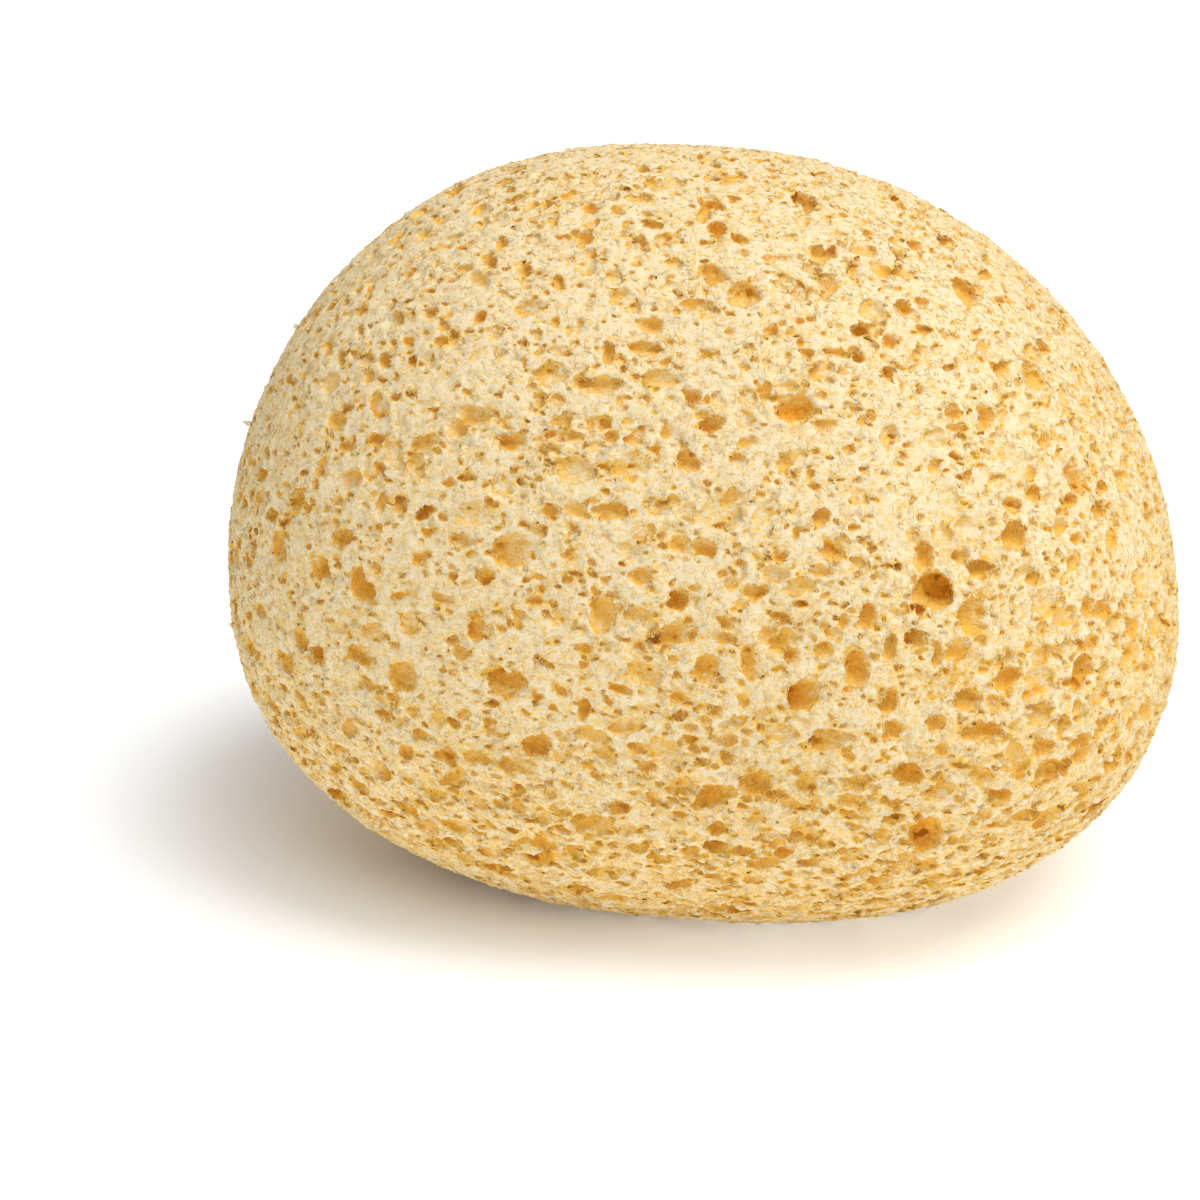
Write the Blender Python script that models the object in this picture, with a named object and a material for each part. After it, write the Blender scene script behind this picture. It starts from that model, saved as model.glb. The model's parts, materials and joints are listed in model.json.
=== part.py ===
"""Sea sponge, made at its real size in metres, +Z up.

The sponge is one grown piece: a rounded body that is longest along X, flat where it rests on Z = 0,
and pitted all over. The pits that stand out in the photograph of its front are cut where they show
there. The sides, the back and the underside carry pits of the same kind, scattered by a fixed seed.
"""

import math
import random
from typing import NamedTuple

import bmesh
import bpy
from mathutils import Matrix, Vector
from mathutils.bvhtree import BVHTree

MM = 0.001

# Driving dimensions of the body
LENGTH = 0.140
DEPTH = 0.104
BELT_HEIGHT = 0.041
CROWN_RISE = 0.068
UNDERSIDE_DROP = 0.046
BELT_SQUARENESS = 2.5
FLANK_SQUARENESS = 2.1
LEAN = -0.065
BODY_SUBDIVISIONS = 4

# The sight line of the photograph, which shows the front, -Y, from a little above and to the right
VIEW_AZIMUTH = math.radians(7)
VIEW_ELEVATION = math.radians(22)
VIEW_DISTANCE = 0.75
VIEW_TARGET = Vector((0, 0, 0.05))
TARGET_ACROSS = 705
TARGET_DOWN = 541
FOCAL_LENGTH_PIXELS = 5081

# How every pit is cut
PIT_SINK = 0.25
PIT_UNEVENNESS = 0.14
LARGE_PIT_WIDTH = 5.8 * MM
STRONGEST_SLANT = 0.42

# The pits scattered over the sides, the back and the underside
SCATTER_SEED = 17
SCATTER_TRIES = 5000
SCATTER_LIMIT = 125
SMALLEST_PIT = 2.9 * MM
LARGEST_PIT = 6.8 * MM
SMALL_PITS_FAVOURED = 1.6
PIT_HEIGHT_TO_WIDTH = (0.55, 0.95)
PIT_DEPTH_TO_WIDTH = (0.35, 0.85)
PIT_TILT = (-0.5, 0.5)
PIT_WALL = 1.7 * MM
CLEAR_FOOT_RADIUS = 0.012
WELL_SEEN = 0.3

# The grain is finest at the upper left and coarsest at the lower right
FINE_END_SIZE = 0.75
COARSENESS_AT_LEFT_FOOT = 0.25
COARSER_TO_THE_RIGHT = 0.6
FINER_TO_THE_CROWN = 0.35
NEARLY_LEVEL = 0.1

SPONGE_COLOUR = (0.83, 0.62, 0.30, 1.0)
SPONGE_ROUGHNESS = 0.95
SHARP_EDGE = math.radians(35)


class Pit(NamedTuple):
    """A pit read from the photograph: its middle in the 1200 pixel frame, then its size in millimetres."""

    across: float
    down: float
    width: float
    height: float
    depth: float


CROWN_PITS = (
    Pit(665, 181, 5.6, 1.8, 1.6),
    Pit(573, 195, 2.8, 1.8, 1.2),
    Pit(708, 201, 3.4, 3.2, 2.2),
    Pit(801, 199, 3.2, 2.9, 2.4),
    Pit(861, 245, 3.2, 2.1, 1.2),
    Pit(944, 238, 2.8, 2.0, 1.6),
    Pit(742, 293, 4.1, 3.5, 2.2),
    Pit(967, 291, 3.8, 3.2, 2.6),
    Pit(904, 307, 3.2, 2.2, 1.6),
    Pit(527, 307, 3.5, 1.8, 1.2),
    Pit(694, 304, 3.2, 1.6, 1.0),
)

MIDDLE_PITS = (
    Pit(606, 385, 5.3, 1.9, 3.0),
    Pit(664, 377, 6.6, 2.5, 1.4),
    Pit(794, 402, 6.6, 4.4, 4.4),
    Pit(709, 421, 4.1, 2.4, 2.8),
    Pit(690, 463, 3.1, 2.5, 2.4),
    Pit(578, 471, 5.0, 4.2, 1.6),
    Pit(634, 467, 6.4, 2.9, 1.5),
    Pit(609, 512, 5.0, 2.4, 1.8),
    Pit(552, 375, 4.4, 2.9, 1.2),
    Pit(512, 442, 4.1, 2.7, 3.0),
    Pit(482, 415, 4.0, 2.2, 1.6),
    Pit(515, 550, 6.4, 4.0, 2.2),
    Pit(706, 546, 2.9, 2.6, 1.8),
    Pit(677, 600, 3.8, 2.9, 3.2),
    Pit(675, 634, 7.0, 3.4, 3.6),
    Pit(644, 674, 5.4, 4.2, 1.8),
    Pit(708, 670, 4.2, 4.0, 2.6),
    Pit(752, 664, 2.4, 4.4, 4.0),
    Pit(512, 682, 5.9, 3.5, 3.4),
    Pit(538, 749, 3.5, 2.6, 1.8),
)

RIGHT_PITS = (
    Pit(936, 589, 5.6, 5.0, 5.0),
    Pit(974, 612, 3.6, 4.6, 3.0),
    Pit(860, 665, 3.7, 5.0, 4.4),
    Pit(807, 693, 5.3, 4.6, 5.0),
    Pit(870, 614, 2.6, 3.5, 2.2),
    Pit(917, 638, 3.0, 3.4, 2.2),
    Pit(891, 697, 2.4, 2.8, 4.0),
    Pit(966, 698, 4.1, 3.0, 3.0),
    Pit(983, 730, 5.4, 2.6, 2.4),
    Pit(834, 738, 4.7, 2.2, 1.8),
    Pit(833, 547, 3.5, 3.4, 2.2),
    Pit(1013, 532, 3.5, 4.1, 2.6),
    Pit(1033, 376, 3.6, 3.8, 2.2),
    Pit(1077, 474, 2.6, 3.5, 3.0),
    Pit(1113, 532, 2.2, 4.2, 3.0),
    Pit(1104, 606, 3.2, 2.4, 2.6),
    Pit(1047, 597, 3.2, 3.6, 1.6),
    Pit(1083, 664, 2.2, 4.1, 3.0),
    Pit(1011, 675, 3.8, 2.6, 2.0),
    Pit(1040, 652, 2.8, 2.8, 1.2),
)

LOW_PITS = (
    Pit(758, 782, 4.7, 3.4, 2.4),
    Pit(813, 781, 3.4, 3.2, 2.0),
    Pit(861, 782, 4.2, 2.2, 1.4),
    Pit(911, 771, 4.2, 2.8, 3.2),
    Pit(946, 790, 4.4, 2.3, 2.4),
    Pit(987, 777, 3.6, 3.3, 2.2),
    Pit(713, 797, 6.8, 3.6, 4.2),
    Pit(724, 848, 4.2, 2.4, 2.8),
    Pit(804, 838, 5.4, 2.3, 1.8),
    Pit(929, 836, 4.7, 3.5, 3.8),
    Pit(595, 827, 6.2, 3.0, 2.6),
    Pit(469, 865, 2.9, 2.1, 1.4),
    Pit(1054, 767, 3.0, 3.0, 2.0),
)

LEFT_PITS = (
    Pit(359, 586, 3.5, 4.8, 3.8),
    Pit(319, 570, 2.6, 2.9, 2.4),
    Pit(404, 679, 3.5, 3.5, 2.0),
    Pit(363, 656, 3.2, 2.8, 1.6),
    Pit(286, 666, 3.0, 2.8, 1.6),
    Pit(334, 425, 2.6, 3.2, 1.8),
    Pit(449, 759, 3.2, 2.6, 1.6),
    Pit(429, 832, 3.7, 2.1, 1.6),
    Pit(382, 775, 2.8, 2.4, 2.0),
)

PHOTOGRAPHED_PITS = CROWN_PITS + MIDDLE_PITS + RIGHT_PITS + LOW_PITS + LEFT_PITS


def clear_scene() -> None:
    """Remove every object that the file opened with."""
    for item in list(bpy.data.objects):
        bpy.data.objects.remove(item, do_unlink=True)


def new_collection(name: str) -> bpy.types.Collection:
    """Make a collection in the scene."""
    collection = bpy.data.collections.new(name)
    bpy.context.scene.collection.children.link(collection)
    return collection


def sponge_material() -> bpy.types.Material:
    """Make the sponge's own pale yellow, dull all over."""
    material = bpy.data.materials.new("sponge_fibre")
    material.use_nodes = True
    shader = material.node_tree.nodes["Principled BSDF"]
    shader.inputs["Base Color"].default_value = SPONGE_COLOUR
    shader.inputs["Roughness"].default_value = SPONGE_ROUGHNESS
    shader.inputs["Metallic"].default_value = 0.0
    return material


def body_point(direction: Vector) -> Vector:
    """Give the point of the round body that lies in a direction from the middle of its belt."""
    x, y, z = (abs(part) for part in direction)
    belt = (x ** BELT_SQUARENESS + y ** BELT_SQUARENESS) ** (1 / BELT_SQUARENESS)
    reach = (belt ** FLANK_SQUARENESS + z ** FLANK_SQUARENESS) ** (1 / FLANK_SQUARENESS)
    unit = direction / reach
    rise = unit.z * (CROWN_RISE if unit.z > 0 else UNDERSIDE_DROP)
    return Vector((unit.x * LENGTH / 2 + LEAN * rise, unit.y * DEPTH / 2, BELT_HEIGHT + rise))


def round_body() -> bmesh.types.BMesh:
    """Shape a sphere into the sponge's rounded body and cut it flat at the floor."""
    body = bmesh.new()
    bmesh.ops.create_icosphere(body, subdivisions=BODY_SUBDIVISIONS, radius=1.0)
    for vertex in body.verts:
        vertex.co = body_point(vertex.co)
    everything = body.verts[:] + body.edges[:] + body.faces[:]
    bmesh.ops.bisect_plane(
        body, geom=everything, plane_co=(0, 0, 0), plane_no=(0, 0, -1), clear_outer=True
    )
    rim = [edge for edge in body.edges if edge.is_boundary]
    bmesh.ops.contextual_create(body, geom=rim)
    bmesh.ops.recalc_face_normals(body, faces=body.faces[:])
    return body


def sight_axes() -> tuple[Vector, Vector, Vector]:
    """Give the photograph's own axes: to its right, upwards, and back towards the viewer."""
    level = math.cos(VIEW_ELEVATION)
    back = Vector((
        math.sin(VIEW_AZIMUTH) * level,
        -math.cos(VIEW_AZIMUTH) * level,
        math.sin(VIEW_ELEVATION),
    ))
    right = Vector((math.cos(VIEW_AZIMUTH), math.sin(VIEW_AZIMUTH), 0))
    return right, back.cross(right), back


def stretch_for_slant(size: float, tangent: Vector, back: Vector) -> float:
    """Lengthen a seen size to the real one on a surface that slants away from the viewer."""
    seen = (tangent - back * tangent.dot(back)).length
    return size / max(seen, STRONGEST_SLANT)


def photographed_cutters(surface: BVHTree) -> list[tuple[Matrix, float]]:
    """Place a cutter on the body for each pit of the photograph.

    Args:
        surface: The body's faces, to find where each sight line meets it.

    Returns:
        Each cutter's placement, which turns a unit sphere into the pit, and the pit's width.
    """
    right, up, back = sight_axes()
    eye = VIEW_TARGET + back * VIEW_DISTANCE
    cutters = []
    for pit in PHOTOGRAPHED_PITS:
        across = (pit.across - TARGET_ACROSS) / FOCAL_LENGTH_PIXELS
        down = (pit.down - TARGET_DOWN) / FOCAL_LENGTH_PIXELS
        ray = (right * across - up * down - back).normalized()
        point, normal, _, _ = surface.ray_cast(eye, ray)
        side = (right - normal * right.dot(normal)).normalized()
        rise = normal.cross(side)
        width = stretch_for_slant(pit.width * MM, side, back)
        height = stretch_for_slant(pit.height * MM, rise, back)
        placement = cutter_placement(point, side, rise, normal, width, height, pit.depth * MM)
        cutters.append((placement, width))
    return cutters


def cutter_placement(
    point: Vector, side: Vector, rise: Vector, normal: Vector, width: float, height: float, depth: float
) -> Matrix:
    """Give the matrix that turns a unit sphere into a pit's cutter.

    Args:
        point: Where the pit opens on the body.
        side: The direction of its width.
        rise: The direction of its height.
        normal: The way out of the body.
        width: Its opening along side.
        height: Its opening along rise.
        depth: How far it goes in.

    Returns:
        The cutter's placement. The sphere's middle lies a little way in, so the mouth is its widest part.
    """
    reach = depth * (1 - PIT_SINK)
    middle = point - normal * depth * PIT_SINK
    columns = (side * width / 2, rise * height / 2, normal * reach, middle)
    return Matrix([[column[row] for column in columns] for row in range(3)] + [[0, 0, 0, 1]])


def coarseness(point: Vector) -> float:
    """Say how coarse the grain is at a point: 0 where it is finest, 1 where it is most open."""
    along = 0.5 + point.x / LENGTH
    height = point.z / (BELT_HEIGHT + CROWN_RISE)
    grain = COARSENESS_AT_LEFT_FOOT + COARSER_TO_THE_RIGHT * along - FINER_TO_THE_CROWN * height
    return min(1.0, max(0.0, grain))


def level_side(normal: Vector, tilt: float) -> Vector:
    """Give the direction on the surface that runs level, turned about the normal by a tilt."""
    side = Vector((0, 0, 1)).cross(normal)
    if side.length < NEARLY_LEVEL:
        side = Vector((1, 0, 0))
    return Matrix.Rotation(tilt, 3, normal) @ side.normalized()


def has_room(point: Vector, normal: Vector, width: float, placed: list[tuple[Vector, float]]) -> bool:
    """Say if a pit may open at a point: out of the photograph's view, off the foot, clear of the others."""
    if normal.dot(sight_axes()[2]) > WELL_SEEN:
        return False
    if point.z < PIT_WALL and math.hypot(point.x, point.y) < CLEAR_FOOT_RADIUS:
        return False
    return all((point - other).length > (width + wide) / 2 + PIT_WALL for other, wide in placed)


def scattered_cutters(surface: BVHTree, taken: list[tuple[Matrix, float]]) -> list[tuple[Matrix, float]]:
    """Scatter cutters like the photographed ones over what the photograph doesn't show well.

    Args:
        surface: The body's faces, to set each cutter on.
        taken: The cutters that are already placed.

    Returns:
        The new cutters, as placements and widths.
    """
    chance = random.Random(SCATTER_SEED)
    middle = Vector((0, 0, BELT_HEIGHT))
    placed = [(placement.translation, width) for placement, width in taken]
    cutters = []
    for _ in range(SCATTER_TRIES):
        turn = chance.uniform(0, 2 * math.pi)
        rise = chance.uniform(-1, 1)
        size = chance.random() ** SMALL_PITS_FAVOURED
        height_to_width = chance.uniform(*PIT_HEIGHT_TO_WIDTH)
        depth_to_width = chance.uniform(*PIT_DEPTH_TO_WIDTH)
        tilt = chance.uniform(*PIT_TILT)
        level = math.sqrt(1 - rise * rise)
        direction = Vector((level * math.cos(turn), level * math.sin(turn), rise))
        point, normal, _, _ = surface.ray_cast(middle, direction)
        width = SMALLEST_PIT + (LARGEST_PIT - SMALLEST_PIT) * size
        width *= FINE_END_SIZE + (1 - FINE_END_SIZE) * coarseness(point)
        if not has_room(point, normal, width, placed):
            continue
        side = level_side(normal, tilt)
        height = width * height_to_width
        depth = width * depth_to_width
        placement = cutter_placement(point, side, normal.cross(side), normal, width, height, depth)
        cutters.append((placement, width))
        placed.append((point, width))
        if len(cutters) == SCATTER_LIMIT:
            break
    return cutters


def pit_cutters(cutters: list[tuple[Matrix, float]]) -> bmesh.types.BMesh:
    """Build all the cutters as lumpy balls in one mesh; the larger pits get rounder ones."""
    chance = random.Random(SCATTER_SEED + 1)
    balls = bmesh.new()
    for placement, width in cutters:
        subdivisions = 2 if width > LARGE_PIT_WIDTH else 1
        ball = bmesh.ops.create_icosphere(balls, subdivisions=subdivisions, radius=1.0)
        turn = Matrix.Rotation(chance.uniform(0, math.pi), 3, "Z")
        for vertex in ball["verts"]:
            swell = 1 + chance.uniform(-PIT_UNEVENNESS, PIT_UNEVENNESS)
            vertex.co = placement @ (turn @ vertex.co * swell)
    bmesh.ops.recalc_face_normals(balls, faces=balls.faces[:])
    return balls


def add_object(name: str, shape: bmesh.types.BMesh, collection: bpy.types.Collection) -> bpy.types.Object:
    """Put a finished shape into the scene as an object of its own."""
    mesh = bpy.data.meshes.new(name)
    shape.to_mesh(mesh)
    shape.free()
    item = bpy.data.objects.new(name, mesh)
    collection.objects.link(item)
    return item


def cut_pits(sponge: bpy.types.Object, cutters: bpy.types.Object) -> None:
    """Cut the pits out of the body."""
    cut = sponge.modifiers.new("pits", "BOOLEAN")
    cut.operation = "DIFFERENCE"
    cut.solver = "EXACT"
    cut.use_self = True
    cut.object = cutters


def build_sponge() -> None:
    """Build the sponge: its round body, then every pit."""
    parts = new_collection("sea_sponge")
    cutting = new_collection("pit_cutters")

    body = round_body()
    surface = BVHTree.FromBMesh(body)
    seen = photographed_cutters(surface)
    unseen = scattered_cutters(surface, seen)

    sponge = add_object("sponge", body, parts)
    sponge.data.materials.append(sponge_material())
    sponge.data.shade_smooth()
    sponge.data.set_sharp_from_angle(angle=SHARP_EDGE)

    cutters = add_object("pit_cutters", pit_cutters(seen + unseen), cutting)
    cutters.hide_render = True
    cutters.display_type = "WIRE"
    cut_pits(sponge, cutters)


clear_scene()
build_sponge()
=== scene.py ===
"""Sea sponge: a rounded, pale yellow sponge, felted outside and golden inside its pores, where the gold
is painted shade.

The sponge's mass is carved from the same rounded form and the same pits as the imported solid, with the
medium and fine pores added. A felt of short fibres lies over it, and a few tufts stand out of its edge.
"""

import json
import logging
import math
import random
from dataclasses import dataclass, field
from enum import Enum
from typing import NamedTuple, Union

import bmesh
import bpy
import numpy as np
from mathutils import Matrix, Vector
from mathutils.bvhtree import BVHTree

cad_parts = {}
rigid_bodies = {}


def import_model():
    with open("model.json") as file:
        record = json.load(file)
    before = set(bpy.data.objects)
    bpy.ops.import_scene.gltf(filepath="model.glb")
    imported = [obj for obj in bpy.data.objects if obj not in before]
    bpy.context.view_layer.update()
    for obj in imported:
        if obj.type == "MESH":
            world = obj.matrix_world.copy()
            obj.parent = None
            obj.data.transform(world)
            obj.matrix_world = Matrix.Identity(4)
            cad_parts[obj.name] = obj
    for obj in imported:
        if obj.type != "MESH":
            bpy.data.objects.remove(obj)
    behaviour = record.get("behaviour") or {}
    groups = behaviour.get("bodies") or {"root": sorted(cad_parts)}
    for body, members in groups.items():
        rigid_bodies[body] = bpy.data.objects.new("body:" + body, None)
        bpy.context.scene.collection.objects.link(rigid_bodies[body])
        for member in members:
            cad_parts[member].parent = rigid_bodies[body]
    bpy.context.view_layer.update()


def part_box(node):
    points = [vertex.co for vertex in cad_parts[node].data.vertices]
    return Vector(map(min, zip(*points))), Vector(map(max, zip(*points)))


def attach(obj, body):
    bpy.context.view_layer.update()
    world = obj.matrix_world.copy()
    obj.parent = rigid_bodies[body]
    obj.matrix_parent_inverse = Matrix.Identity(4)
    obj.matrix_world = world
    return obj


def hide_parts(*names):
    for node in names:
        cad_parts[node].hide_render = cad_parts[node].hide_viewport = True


log = logging.getLogger("sponge")

MM = 0.001
NODE = "sponge"
BODY = "root"
FRAME_PIXELS = 1200
CHART_GRID = (3, 2)
CHART_FILL = 0.92


class PhotoPore(NamedTuple):
    """A pore read from the photograph: its middle in the 1200 pixel frame, its size in millimetres.

    Its tilt is in degrees, with the right end raised where it is above 0.
    """

    across: float
    down: float
    width: float
    height: float
    depth: float
    tilt: float = 0


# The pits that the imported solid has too, as rows of a PhotoPore's values
MAIN_PORES = (
    # crown
    (665, 181, 5.6, 1.8, 1.6), (573, 195, 2.8, 1.8, 1.2), (708, 201, 3.4, 2.4, 2.2, -40),
    (801, 199, 3.2, 2.9, 2.4), (861, 245, 3.2, 2.1, 1.2), (944, 238, 2.8, 2.0, 1.6),
    (742, 293, 4.1, 3.5, 2.2), (967, 291, 3.8, 3.2, 2.6), (904, 307, 3.2, 2.2, 1.6),
    (527, 307, 3.5, 1.8, 1.2), (694, 304, 3.2, 1.6, 1.0),
    # middle
    (606, 385, 5.3, 1.9, 3.0), (664, 377, 6.6, 2.5, 1.4), (794, 402, 6.6, 4.4, 4.4),
    (709, 421, 4.1, 2.4, 2.8), (690, 463, 3.1, 2.5, 2.4), (578, 471, 5.0, 4.2, 1.6),
    (634, 467, 6.4, 2.9, 1.5), (609, 512, 5.0, 2.4, 1.8), (552, 375, 4.4, 2.9, 1.2),
    (512, 442, 4.1, 2.7, 3.0), (482, 415, 4.0, 2.2, 1.6), (515, 550, 6.4, 4.0, 2.2),
    (706, 546, 2.9, 2.6, 1.8), (677, 600, 3.8, 2.9, 3.2), (675, 634, 7.0, 3.0, 3.6, 14),
    (644, 674, 5.4, 4.2, 1.8), (708, 670, 4.2, 4.0, 2.6), (752, 664, 2.4, 4.4, 4.0),
    (512, 682, 5.9, 3.5, 3.4), (538, 749, 3.5, 2.6, 1.8),
    # right
    (936, 589, 5.6, 4.8, 5.0, -15), (974, 612, 3.6, 4.6, 3.0), (860, 665, 3.7, 5.0, 4.4),
    (807, 693, 5.3, 3.3, 5.0, 38), (870, 614, 2.6, 3.5, 2.2), (917, 638, 3.0, 3.4, 2.2),
    (891, 697, 2.4, 2.8, 4.0), (966, 698, 4.1, 3.0, 3.0), (983, 730, 5.4, 2.6, 2.4),
    (834, 738, 4.7, 2.2, 1.8), (833, 547, 3.5, 3.4, 2.2), (1013, 532, 3.5, 4.1, 2.6),
    (1033, 376, 3.6, 2.8, 2.2, -45), (1077, 474, 2.6, 3.5, 3.0), (1113, 532, 2.2, 4.2, 3.0),
    (1104, 606, 3.2, 2.4, 2.6), (1047, 597, 3.2, 3.6, 1.6), (1083, 664, 2.2, 4.1, 3.0),
    (1011, 675, 3.8, 2.6, 2.0), (1040, 652, 2.8, 2.8, 1.2),
    # low
    (758, 782, 4.7, 3.4, 2.4), (813, 781, 3.4, 3.2, 2.0), (861, 782, 4.2, 2.2, 1.4),
    (911, 771, 4.2, 2.8, 3.2), (946, 790, 4.4, 2.3, 2.4), (987, 777, 3.6, 3.3, 2.2),
    (713, 797, 6.8, 3.0, 4.2, 24), (724, 848, 4.2, 2.4, 2.8), (804, 838, 5.4, 2.3, 1.8),
    (929, 836, 4.7, 3.5, 3.8), (595, 827, 6.2, 3.0, 2.6), (469, 865, 2.9, 2.1, 1.4),
    (1054, 767, 3.0, 3.0, 2.0),
    # left
    (359, 586, 3.5, 4.8, 3.8), (319, 570, 2.6, 2.9, 2.4), (404, 679, 3.5, 3.5, 2.0),
    (363, 656, 3.2, 2.8, 1.6), (286, 666, 3.0, 2.8, 1.6), (334, 425, 2.6, 3.2, 1.8),
    (449, 759, 3.2, 2.6, 1.6), (429, 832, 3.7, 2.1, 1.6), (382, 775, 2.8, 2.4, 2.0),
)

# Smaller pores that still read one by one in the photograph, in the same way
SMALLER_PORES = (
    # crown
    (700, 213, 2.0, 2.4, 1.8), (713, 228, 2.8, 2.2, 2.4), (894, 249, 2.0, 2.0, 1.8),
    (910, 220, 3.4, 2.4, 1.0), (920, 299, 1.5, 1.5, 1.6), (856, 327, 2.6, 1.9, 2.0),
    (858, 354, 2.1, 1.5, 1.8), (634, 198, 3.2, 1.3, 1.0), (518, 198, 3.4, 1.3, 1.0),
    (497, 244, 1.5, 2.3, 1.4), (555, 282, 1.5, 2.1, 1.6), (806, 352, 1.6, 1.4, 1.4),
    # middle
    (571, 436, 3.2, 1.5, 1.8), (640, 535, 2.1, 1.4, 2.2), (605, 352, 1.8, 2.8, 1.4),
    (595, 423, 2.6, 2.2, 1.6), (465, 478, 2.6, 1.5, 2.4), (508, 487, 5.4, 4.8, 1.0),
    (532, 603, 2.1, 1.5, 1.4), (585, 712, 2.0, 3.0, 1.6), (490, 729, 1.8, 2.3, 1.4),
    (522, 342, 1.3, 1.3, 1.8), (726, 622, 3.0, 1.8, 2.0), (720, 638, 2.6, 1.8, 1.8),
    (776, 616, 1.6, 1.5, 1.4), (786, 619, 1.7, 1.8, 1.6), (843, 622, 2.0, 1.2, 1.8),
    (796, 532, 1.2, 1.4, 1.6), (778, 557, 1.8, 1.6, 1.4), (792, 655, 2.0, 1.9, 1.8),
    # right
    (825, 652, 2.2, 2.2, 3.2), (892, 648, 2.0, 4.0, 2.0), (939, 655, 1.6, 2.1, 1.6),
    (896, 728, 2.6, 2.2, 2.2), (943, 679, 2.8, 3.6, 1.0), (937, 720, 2.6, 1.8, 1.8),
    (923, 554, 2.4, 3.8, 2.0), (983, 567, 3.4, 2.3, 2.2), (823, 568, 3.8, 1.5, 1.0),
    (923, 611, 1.8, 1.6, 1.8), (865, 540, 2.0, 1.2, 1.6), (871, 545, 1.2, 1.8, 1.4),
    (857, 526, 1.8, 1.0, 1.6), (1001, 368, 2.3, 2.6, 1.8), (1029, 369, 2.4, 2.8, 2.2),
    (886, 372, 1.5, 1.8, 1.4), (951, 409, 2.1, 1.8, 1.8), (954, 425, 3.2, 1.2, 1.2),
    (1099, 507, 2.0, 2.9, 2.2), (1165, 523, 1.4, 2.6, 1.6), (1065, 613, 3.4, 2.6, 1.2),
    (1043, 711, 2.4, 2.9, 1.8), (1065, 721, 2.0, 2.9, 1.8), (1047, 768, 2.2, 3.0, 2.0),
    (1067, 764, 1.5, 2.4, 1.6), (1120, 748, 1.6, 1.6, 1.2), (897, 565, 1.4, 1.3, 1.2),
    (1075, 557, 1.7, 2.4, 1.6),
    # low
    (783, 739, 4.2, 2.8, 1.2), (894, 802, 4.0, 1.2, 1.2), (720, 830, 2.8, 1.9, 2.6),
    (681, 816, 1.8, 1.2, 3.2), (886, 836, 2.3, 2.1, 1.6), (620, 808, 3.2, 1.8, 3.0),
    (520, 810, 1.8, 1.8, 2.4), (751, 733, 2.0, 1.1, 2.8), (704, 762, 1.9, 1.4, 1.8),
    (716, 713, 2.0, 1.8, 2.0), (729, 758, 1.8, 1.6, 1.8), (648, 765, 2.4, 1.4, 1.6),
    (640, 749, 2.6, 1.2, 1.2), (780, 795, 4.0, 1.4, 1.4), (690, 740, 2.2, 1.4, 1.2),
    (562, 815, 3.6, 1.3, 1.4), (660, 860, 3.8, 1.2, 1.2), (860, 858, 3.6, 1.1, 1.2),
    (760, 880, 4.0, 1.1, 1.0), (985, 815, 3.0, 1.4, 1.4),
    # left
    (339, 540, 2.6, 2.1, 2.2), (278, 550, 1.8, 4.6, 1.6), (479, 762, 3.4, 2.0, 1.4),
    (518, 769, 4.6, 2.6, 1.4), (341, 755, 3.0, 1.8, 1.4), (420, 737, 2.6, 1.5, 1.6),
    (450, 339, 1.6, 2.1, 2.0), (427, 314, 2.1, 1.2, 1.2), (357, 312, 1.9, 1.1, 1.4),
    (326, 347, 2.0, 2.4, 1.4), (343, 447, 2.4, 1.8, 1.6), (376, 440, 2.2, 1.8, 2.0),
    (318, 472, 1.5, 2.4, 1.8), (377, 405, 2.2, 3.4, 1.2), (365, 375, 2.0, 2.0, 1.2),
    (437, 341, 1.8, 1.4, 1.4), (406, 342, 1.5, 1.5, 1.4), (425, 443, 3.4, 1.8, 1.4),
    (379, 504, 1.7, 2.6, 1.4), (269, 519, 1.6, 2.2, 1.4), (301, 640, 2.0, 2.4, 1.4),
    (440, 600, 2.8, 1.8, 1.2), (420, 560, 2.2, 1.6, 1.2), (460, 655, 2.4, 1.8, 1.4),
)


class PoreClass(Enum):
    """The four families of scattered pores, by how they are made."""

    DISH = "dish"
    MEDIUM = "medium"
    SMALL = "small"
    FINE = "fine"


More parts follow.
